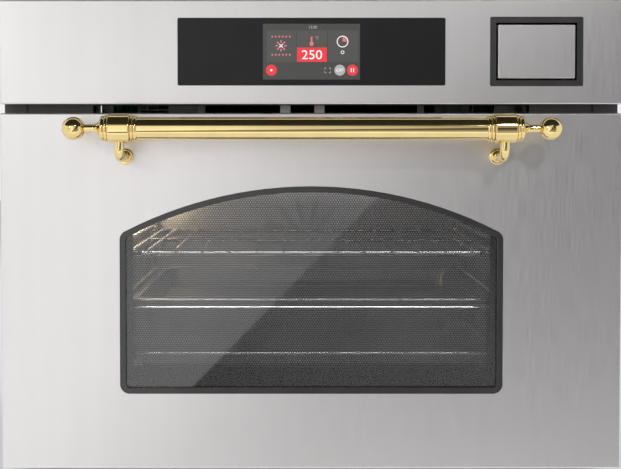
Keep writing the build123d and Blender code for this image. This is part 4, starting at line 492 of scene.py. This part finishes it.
def bridge(vertices, faces, first, second):
    """Quads between two closed rings of as many points."""
    a = len(vertices)
    vertices += first
    b = len(vertices)
    vertices += second
    count = len(first)
    for k in range(count):
        after = (k + 1) % count
        faces.append((a + k, a + after, b + after, b + k))


def ring_at(outline, y):
    return [(x, y, z) for x, z in outline]


def make_screen():
    low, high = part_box("choke_screen")
    front, sheet = low.y, sheet_thickness
    vertices, faces = net_of_holes(front + sheet / 2)
    outer = rounded_box(low.x, high.x, low.z, high.z, sheet_corner)
    hole = rounded_box(-net_half_width + net_pitch, net_half_width - net_pitch / 2,
                       net_low + net_pitch, net_high - net_pitch * 1.5, hole_corner)
    rings = [ring_at(outer, front), ring_at(hole, front), ring_at(hole, front + sheet),
             ring_at(outer, front + sheet)]
    for k in range(4):
        bridge(vertices, faces, rings[k], rings[(k + 1) % 4])
    wall_half, wall_low, wall_high, wall = 0.1892, 0.0828, 0.2892, 1.2 * MM
    wall_corner = 10 * MM
    outside = rounded_box(-wall_half, wall_half, wall_low, wall_high, wall_corner + wall)
    inside = rounded_box(-wall_half + wall, wall_half - wall, wall_low + wall,
                         wall_high - wall, wall_corner)
    back = high.y
    seat = front + sheet
    rings = [ring_at(outside, seat), ring_at(outside, back), ring_at(inside, back),
             ring_at(inside, seat)]
    for k in range(3):
        bridge(vertices, faces, rings[k], rings[k + 1])
    mesh = mesh_from("microwave_screen", vertices, faces)
    return add_piece("microwave_screen", mesh, FINISHES["screen_steel"], "door",
                     ["choke_screen"])


make_screen()


# Display: a lit screen with generic symbols, in layers on the black glass
def lit(name, colour):
    finish = Finish(name, shade(colour, 0.2), 0.25)
    finish.shader.inputs["Emission Color"].default_value = (*colour, 1)
    finish.shader.inputs["Emission Strength"].default_value = 1.0
    finish.vary_roughness(finish.noise(0.004, detail=2), 0.2, 0.3)
    return finish


LIT = {
    "screen": lit("lit_screen", (0.047, 0.046, 0.044)),
    "tile": lit("lit_tile", (0.064, 0.063, 0.060)),
    "white": lit("lit_white", (0.86, 0.84, 0.82)),
    "grey": lit("lit_grey", (0.36, 0.36, 0.355)),
    "red": lit("lit_red", (0.68, 0.035, 0.045)),
    "pale_red": lit("lit_pale_red", (0.60, 0.16, 0.16)),
}

glass_low, glass_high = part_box("display_glass")
screen_x = (glass_low.x + glass_high.x) / 2
screen_z = (glass_low.z + glass_high.z) / 2
layer_step = 0.03 * MM


class Artwork:
    """Flat shapes of one colour on one layer of the display, in millimetres from its middle."""

    def __init__(self, name, colour, layer):
        self.name = name
        self.colour = colour
        self.front = glass_low.y - layer_step * layer
        self.mesh = bmesh.new()

    def shape(self, outline, hole=None):
        """A thin plate with that outline, or a flat ring between two outlines."""
        def rings(points):
            return [[self.mesh.verts.new((screen_x + x * MM, y, screen_z + z * MM))
                     for x, z in points] for y in (self.front, self.front + layer_step)]

        def walls(one, other):
            for k in range(len(one)):
                after = (k + 1) % len(one)
                self.mesh.faces.new((one[k], one[after], other[after], other[k]))

        front, back = rings(outline)
        walls(front, back)
        if hole is None:
            self.mesh.faces.new(front)
            self.mesh.faces.new(back)
        else:
            hole_front, hole_back = rings(hole)
            walls(hole_front, hole_back)
            walls(front, hole_front)
            walls(back, hole_back)
        return self

    def disc(self, x, z, radius, hole_radius=None, sides=40):
        def circle(r):
            return [(x + r * math.cos(2 * math.pi * k / sides),
                     z + r * math.sin(2 * math.pi * k / sides)) for k in range(sides)]
        return self.shape(circle(radius), circle(hole_radius) if hole_radius else None)

    def box(self, left, right, low, high, radius=0.3):
        return self.shape(rounded_box(left, right, low, high, radius, 4))

    def turned_box(self, x, z, length, width, angle, inner):
        """A short bar that points away from (x, z) and starts inner away from it."""
        along = (math.cos(angle), math.sin(angle))
        side = (-along[1] * width / 2, along[0] * width / 2)
        near = (x + along[0] * inner, z + along[1] * inner)
        far = (near[0] + along[0] * length, near[1] + along[1] * length)
        return self.shape([(near[0] - side[0], near[1] - side[1]),
                           (far[0] - side[0], far[1] - side[1]),
                           (far[0] + side[0], far[1] + side[1]),
                           (near[0] + side[0], near[1] + side[1])])

    def sector(self, x, z, radius, start, end, steps=12):
        points = [(x, z)]
        for k in range(steps + 1):
            angle = math.radians(start + (end - start) * k / steps)
            points.append((x + radius * math.cos(angle), z + radius * math.sin(angle)))
        return self.shape(points)

    def words(self, text, x, z, height, width=None):
        """Plain numbers or letters, centred on (x, z)."""
        curve = bpy.data.curves.new("words", "FONT")
        curve.body = text
        curve.align_x = "CENTER"
        curve.align_y = "CENTER"
        holder = bpy.data.objects.new("words", curve)
        scene.collection.objects.link(holder)
        bpy.context.view_layer.update()
        flat = bpy.data.meshes.new_from_object(holder)
        bpy.data.objects.remove(holder)
        xs = [v.co.x for v in flat.vertices]
        ys = [v.co.y for v in flat.vertices]
        tall = height / (max(ys) - min(ys))
        wide = width / (max(xs) - min(xs)) if width else tall
        for vertex in flat.vertices:
            across = (vertex.co.x - (max(xs) + min(xs)) / 2) * wide
            up = (vertex.co.y - (max(ys) + min(ys)) / 2) * tall
            vertex.co = (screen_x + (x + across) * MM, self.front, screen_z + (z + up) * MM)
        self.mesh.from_mesh(flat)
        bpy.data.meshes.remove(flat)
        return self

    def finish(self):
        bmesh.ops.recalc_face_normals(self.mesh, faces=self.mesh.faces)
        mesh = bpy.data.meshes.new(self.name)
        self.mesh.to_mesh(mesh)
        self.mesh.free()
        return add_piece(self.name, mesh, LIT[self.colour], "chassis")


def make_display():
    half_width, half_height = 46.25, 26.5
    Artwork("display_screen", "screen", 1).box(-half_width, half_width, -half_height,
                                               half_height, 0.4).finish()
    tiles = Artwork("display_tiles", "tile", 2)
    for left, right in ((-42.5, -14.9), (-13.9, 14.8), (15.8, 44.6)):
        tiles.box(left, right, -9.7, 20.2)
    tiles.finish()

    marks = Artwork("display_red_marks", "pale_red", 3)
    fan_x, fan_z = -29.0, 5.6
    for row in (14.3, -2.9):
        for k in range(6):
            marks.disc(-37.4 + 3.35 * k, row, 0.95, sides=6)
    for k in range(8):
        marks.turned_box(fan_x, fan_z, 2.4, 1.3, math.radians(45 * k), 2.9)
    marks.shape([(-0.7, 14.2), (0.9, 14.2), (0.9, 9.6), (1.9, 8.6), (1.9, 6.6), (0.9, 5.4),
                 (-0.7, 5.4), (-1.7, 6.6), (-1.7, 8.6), (-0.7, 9.6)])
    marks.finish()

    red = Artwork("display_red", "red", 3)
    red.box(-13.9, 14.7, -9.7, 3.9, 0.4)
    red.disc(-38.3, -17.6, 5.3)
    red.disc(39.0, -17.6, 5.3)
    red.finish()

    sector = Artwork("display_timer", "pale_red", 4)
    sector.sector(29.6, 9.6, 4.3, 0, 90)
    sector.finish()

    grey = Artwork("display_grey", "grey", 3)
    grey.disc(27.0, -17.6, 5.2)
    for across in (-1, 1):
        for up in (-1, 1):
            corner_x, corner_z = 15.4 + across * 2.7, -17.8 + up * 2.3
            left, right = sorted((corner_x, corner_x - across * 1.5))
            low, high = sorted((corner_z, corner_z - up * 1.5))
            grey.box(left, right, corner_z - 0.25, corner_z + 0.25, 0.1)
            grey.box(corner_x - 0.25, corner_x + 0.25, low, high, 0.1)
    grey.words("12:00", 1.5, 23.3, 2.6)
    grey.words("°C", 5.0, 13.4, 2.6)
    grey.finish()

    white = Artwork("display_white", "white", 5)
    white.words("250", 0.4, -2.9, 8.6, 19.4)
    white.disc(29.6, 9.6, 5.5, 4.7)
    white.disc(29.6, -0.6, 1.7, 1.1, 24)
    white.disc(-38.3, -17.6, 1.1, sides=24)
    for k in range(4):
        white.turned_box(fan_x, fan_z, 1.9, 0.9, math.radians(45 + 90 * k), 0.4)
    white.words("OFF", 27.0, -17.6, 3.0, 7.0)
    for across in (-1.1, 1.1):
        white.box(39.0 + across - 0.45, 39.0 + across + 0.45, -19.6, -15.6, 0.2)
    white.finish()


make_display()


# Small parts on the CAD pieces: boxes and screws, each group one piece
class Details:
    """Small solids in metres, in the frame of the part, gathered in one mesh."""

    def __init__(self, name):
        self.name = name
        self.mesh = bmesh.new()

    def box(self, low, high):
        made = bmesh.ops.create_cube(self.mesh, size=1)
        size = [b - a for a, b in zip(low, high)]
        bmesh.ops.scale(self.mesh, vec=size, verts=made["verts"])
        bmesh.ops.translate(self.mesh, vec=[(a + b) / 2 for a, b in zip(low, high)],
                            verts=made["verts"])

    def rod(self, half_length, y, z, radius, sides=12):
        """A round bar across the part, with its axis at (y, z)."""
        ends = [[self.mesh.verts.new((x, y + radius * math.cos(2 * math.pi * k / sides),
                                      z + radius * math.sin(2 * math.pi * k / sides)))
                 for k in range(sides)] for x in (-half_length, half_length)]
        for k in range(sides):
            after = (k + 1) % sides
            self.mesh.faces.new((ends[0][k], ends[1][k], ends[1][after], ends[0][after]))
        for ring in ends:
            self.mesh.faces.new(ring)

    def screw(self, place, outward, radius=3.4 * MM, height=1.7 * MM, sides=20):
        """A domed head with a cross recess; it stands on place and points outward."""
        turn = Vector(outward).to_track_quat("Z", "Y").to_matrix().to_4x4()
        seat = Matrix.Translation(place) @ turn
        profile = [(1.0, 0.0), (1.0, 0.35), (0.82, 0.75), (0.5, 1.0)]
        rings = []
        for share, rise in profile:
            rings.append([self.mesh.verts.new(seat @ Vector((
                radius * share * math.cos(2 * math.pi * k / sides),
                radius * share * math.sin(2 * math.pi * k / sides), height * rise)))
                for k in range(sides)])
        for lower, upper in zip(rings, rings[1:]):
            for k in range(sides):
                after = (k + 1) % sides
                self.mesh.faces.new((lower[k], lower[after], upper[after], upper[k]))
        self.mesh.faces.new(list(reversed(rings[0])))
        cross = []
        arm, half, depth = radius * 0.42, radius * 0.11, height * 0.5
        for x, y in ((arm, half), (half, half), (half, arm), (-half, arm), (-half, half),
                     (-arm, half), (-arm, -half), (-half, -half), (-half, -arm), (half, -arm),
                     (half, -half), (arm, -half)):
            cross.append((x, y))
        top = [self.mesh.verts.new(seat @ Vector((x, y, height))) for x, y in cross]
        floor = [self.mesh.verts.new(seat @ Vector((x, y, height - depth))) for x, y in cross]
        for k in range(len(cross)):
            after = (k + 1) % len(cross)
            self.mesh.faces.new((top[k], top[after], floor[after], floor[k]))
        self.mesh.faces.new(floor)
        edges = []
        for ring in (rings[-1], top):
            for k in range(len(ring)):
                edges.append(self.mesh.edges.get((ring[k], ring[(k + 1) % len(ring)])))
        bmesh.ops.triangle_fill(self.mesh, edges=edges, use_beauty=True)

    def finish(self, finish, body, slot_name):
        bmesh.ops.recalc_face_normals(self.mesh, faces=self.mesh.faces)
        mesh = bpy.data.meshes.new(self.name)
        self.mesh.to_mesh(mesh)
        self.mesh.free()
        return add_piece(self.name, mesh, finish, body)


def add_fasteners():
    """Screws that hold the case, its cover and the door's inner pan."""
    zinc = sheet_metal("zinc_screw", (0.66, 0.66, 0.64), 0.3, (1, 1, 1), 0.0008)
    corner_inset, flange_inset, cover_reach, cover_inset = 12 * MM, 9 * MM, 8 * MM, 30 * MM
    rear_low, rear_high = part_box("rear_panel")
    cover_low, cover_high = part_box("rear_cover")
    back = rear_high.y
    columns = (rear_low.x + corner_inset, 0.0, rear_high.x - corner_inset)
    middle_row = 0.22
    screws = Details("rear_screws")
    for x in columns:
        for z in (rear_low.z + corner_inset, rear_high.z - corner_inset):
            screws.screw((x, back, z), (0, 1, 0))
    for x in (columns[0], columns[2]):
        screws.screw((x, back, middle_row), (0, 1, 0))
    for x in (cover_low.x - cover_reach, cover_high.x + cover_reach):
        for z in (cover_low.z + cover_inset, cover_high.z - cover_inset):
            screws.screw((x, back, z), (0, 1, 0))
    screws.finish(zinc, "chassis", "hinge_steel")

    top_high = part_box("top_cover")[1]
    side_face = -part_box("side_panel_left")[0].x
    case = Details("case_screws")
    for y in (0.05, 0.27, 0.48):
        for side in (-1, 1):
            case.screw((side * (top_high.x - corner_inset), y, top_high.z), (0, 0, 1))
            case.screw((side * side_face, y, top_high.z - flange_inset), (side, 0, 0))
            case.screw((side * side_face, y, flange_inset), (side, 0, 0))
    case.finish(zinc, "chassis", "hinge_steel")

    pan_low, pan_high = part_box("door_inner_frame")
    pan_sheet, head_radius, head_height = 1.2 * MM, 3.0 * MM, 1.4 * MM
    flange_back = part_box("door_skin")[1].y + pan_sheet
    side_column, foot_column, foot_inset = 0.265, 0.09, 14 * MM
    places = [(side_column, z) for z in (0.13, 0.225, pan_high.z - corner_inset)]
    places.append((foot_column, pan_low.z + foot_inset))
    pan = Details("pan_screws")
    for side in (-1, 1):
        for x, z in places:
            pan.screw((side * x, flange_back, z), (0, 1, 0), head_radius, head_height)
    pan.finish(zinc, "door", "hinge_steel")


def add_grille_plates(name, finish, slot_name, middles, half_width, bottom, top, proud):
    """Thin plates on the face of the grille, a little proud of it."""
    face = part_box("vent_grille")[0].y
    plates = Details(name)
    for x in middles:
        plates.box((x - half_width, face - proud, bottom), (x + half_width, face + 0.1 * MM, top))
    plates.finish(finish, "chassis", slot_name)


def add_vent_uprights():
    """Pale faces on the grille's two middle ribs, and a dark joint near each of its ends."""
    grey = moulding("vent_grey", (0.42, 0.41, 0.40), 0.5)
    add_grille_plates("vent_uprights", grey, "white_plastic", (-25.0 * MM, 8.0 * MM),
                      4.9 * MM, 347.6 * MM, 354.9 * MM, 0.25 * MM)
    black = moulding("vent_joint", (0.004, 0.004, 0.004), 0.6)
    add_grille_plates("vent_joints", black, "black_matt", (-274.6 * MM, 272.0 * MM),
                      1.0 * MM, 344.5 * MM, 358.0 * MM, 0.06 * MM)


def add_tray_beads():
    """Polished beads along the rims of the trays, which catch the light behind the screen."""
    polished = sheet_metal("polished_bead", (0.86, 0.86, 0.85), 0.14, lengthways, 0.0004)
    radius, sunk, flange, rim_height, end_inset = 1.2 * MM, 0.4 * MM, 9.4 * MM, 8.0 * MM, 7 * MM
    for node, body in (("baking_tray_upper", "upper_tray"), ("baking_tray_lower", "lower_tray")):
        low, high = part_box(node)
        top = high.z - sunk
        rims = [(low.y + sunk, top), (high.y - flange, top)]
        if node == "baking_tray_upper":
            rims.append((low.y + sunk, high.z - rim_height))
        beads = Details(body + "_beads")
        for y, z in rims:
            beads.rod((high.x - low.x) / 2 - end_inset, y, z, radius)
        beads.finish(polished, body, "tray_steel")


add_fasteners()
add_vent_uprights()
add_tray_beads()


# Stage: a pale floor, and a studio board that only shows in reflections on the front
def make_floor():
    half = 6.0
    mesh = mesh_from("floor", [(-half, -half, 0), (half, -half, 0), (half, half, 0),
                               (-half, half, 0)], [(0, 1, 2, 3)])
    floor = bpy.data.objects.new("floor", mesh)
    scene.collection.objects.link(floor)
    finish = Finish("floor_paper", (0.80, 0.80, 0.81), 0.9)
    finish.vary_roughness(finish.noise(0.2, detail=2), 0.85, 0.95)
    floor.data.materials.append(finish.material)
    floor.visible_glossy = False


def make_board():
    """Bright on the left and darker to the right, with one slanting edge and a dark head rail."""
    place = -1.36
    board_half, board_low, board_high = 1.5, -1.1, 1.2
    corners = [(-board_half, place, board_low), (board_half, place, board_low),
               (board_half, place, board_high), (-board_half, place, board_high)]
    mesh = mesh_from("studio_board", corners, [(0, 1, 2, 3)])
    board = bpy.data.objects.new("studio_board", mesh)
    scene.collection.objects.link(board)
    material = bpy.data.materials.new("studio_board")
    material.use_nodes = True
    tree = material.node_tree
    tree.nodes.clear()
    coords = tree.nodes.new("ShaderNodeTexCoord")
    split = tree.nodes.new("ShaderNodeSeparateXYZ")
    link = tree.links.new
    link(coords.outputs["Object"], split.inputs[0])

    def maths(operation, first, second):
        made = tree.nodes.new("ShaderNodeMath")
        made.operation = operation
        for socket, value in zip(made.inputs, (first, second)):
            if isinstance(value, (int, float)):
                socket.default_value = value
            else:
                link(value, socket)
        return made.outputs[0]

    def ramp(value, low, high, stops):
        spread = tree.nodes.new("ShaderNodeMapRange")
        spread.inputs["From Min"].default_value = low
        spread.inputs["From Max"].default_value = high
        link(value, spread.inputs["Value"])
        made = tree.nodes.new("ShaderNodeValToRGB")
        elements = made.color_ramp.elements
        while len(elements) < len(stops):
            elements.new(0.5)
        for element, (position, level) in zip(elements, stops):
            element.position = (position - low) / (high - low)
            element.color = (level, level, level, 1)
        link(spread.outputs["Result"], made.inputs[0])
        return made.outputs[0]

    across = ramp(split.outputs["X"], -board_half, board_half,
                  [(-1.5, 0.46), (-0.8, 0.55), (-0.45, 0.86), (-0.2, 0.82), (0.0, 0.57),
                   (0.16, 0.49), (0.3, 0.34), (0.6, 0.20), (1.5, 0.1)])
    height = ramp(split.outputs["Z"], board_low, board_high,
                  [(-1.1, 1.0), (-0.3, 1.0), (0.1, 0.8), (0.5, 0.75), (1.2, 0.75)])
    foot = ramp(split.outputs["Z"], board_low, board_high,
                [(-1.1, 0.72), (-0.75, 0.72), (-0.55, 0.0), (1.2, 0.0)])
    # The slanting edge runs through these two points, and what lies beyond it is dark
    edge_x, edge_z = 0.1255, 0.189
    other_x, other_z = -0.2165, -0.162
    slope = (edge_z - other_z) / (edge_x - other_x)
    rise = maths("MULTIPLY", maths("SUBTRACT", split.outputs["X"], edge_x), slope)
    beyond = maths("SUBTRACT", rise, maths("SUBTRACT", split.outputs["Z"], edge_z))
    dark_side = ramp(beyond, -0.4, 0.8, [(-0.4, 1.0), (-0.002, 1.0), (0.002, 0.05), (0.45, 0.4),
                                         (0.8, 1.0)])
    rail = ramp(split.outputs["Z"], board_low, board_high,
                [(-1.1, 1.0), (0.82, 1.0), (0.90, 0.35), (1.2, 0.2)])
    level = maths("MULTIPLY", maths("MULTIPLY", across, dark_side),
                  maths("MULTIPLY", height, rail))
    emission = tree.nodes.new("ShaderNodeEmission")
    link(maths("MAXIMUM", level, foot), emission.inputs["Color"])
    emission.inputs["Strength"].default_value = 1.75
    output = tree.nodes.new("ShaderNodeOutputMaterial")
    link(emission.outputs[0], output.inputs["Surface"])
    board.data.materials.append(material)
    board.visible_camera = False
    board.visible_diffuse = False
    board.visible_transmission = False
    board.visible_shadow = False


def make_head_card():
    """A dark card over the front that the brass mirrors as its dark band."""
    half, near, far, height = 1.2, -0.72, 0.02, 0.72
    corners = [(-half, near, height), (half, near, height), (half, far, height),
               (-half, far, height)]
    mesh = mesh_from("head_card", corners, [(0, 1, 2, 3)])
    card = bpy.data.objects.new("head_card", mesh)
    scene.collection.objects.link(card)
    finish = Finish("head_card", (0.02, 0.02, 0.02), 1.0)
    card.data.materials.append(finish.material)
    card.visible_camera = False
    card.visible_diffuse = False
    card.visible_transmission = False
    card.visible_shadow = False


make_floor()
make_board()
make_head_card()
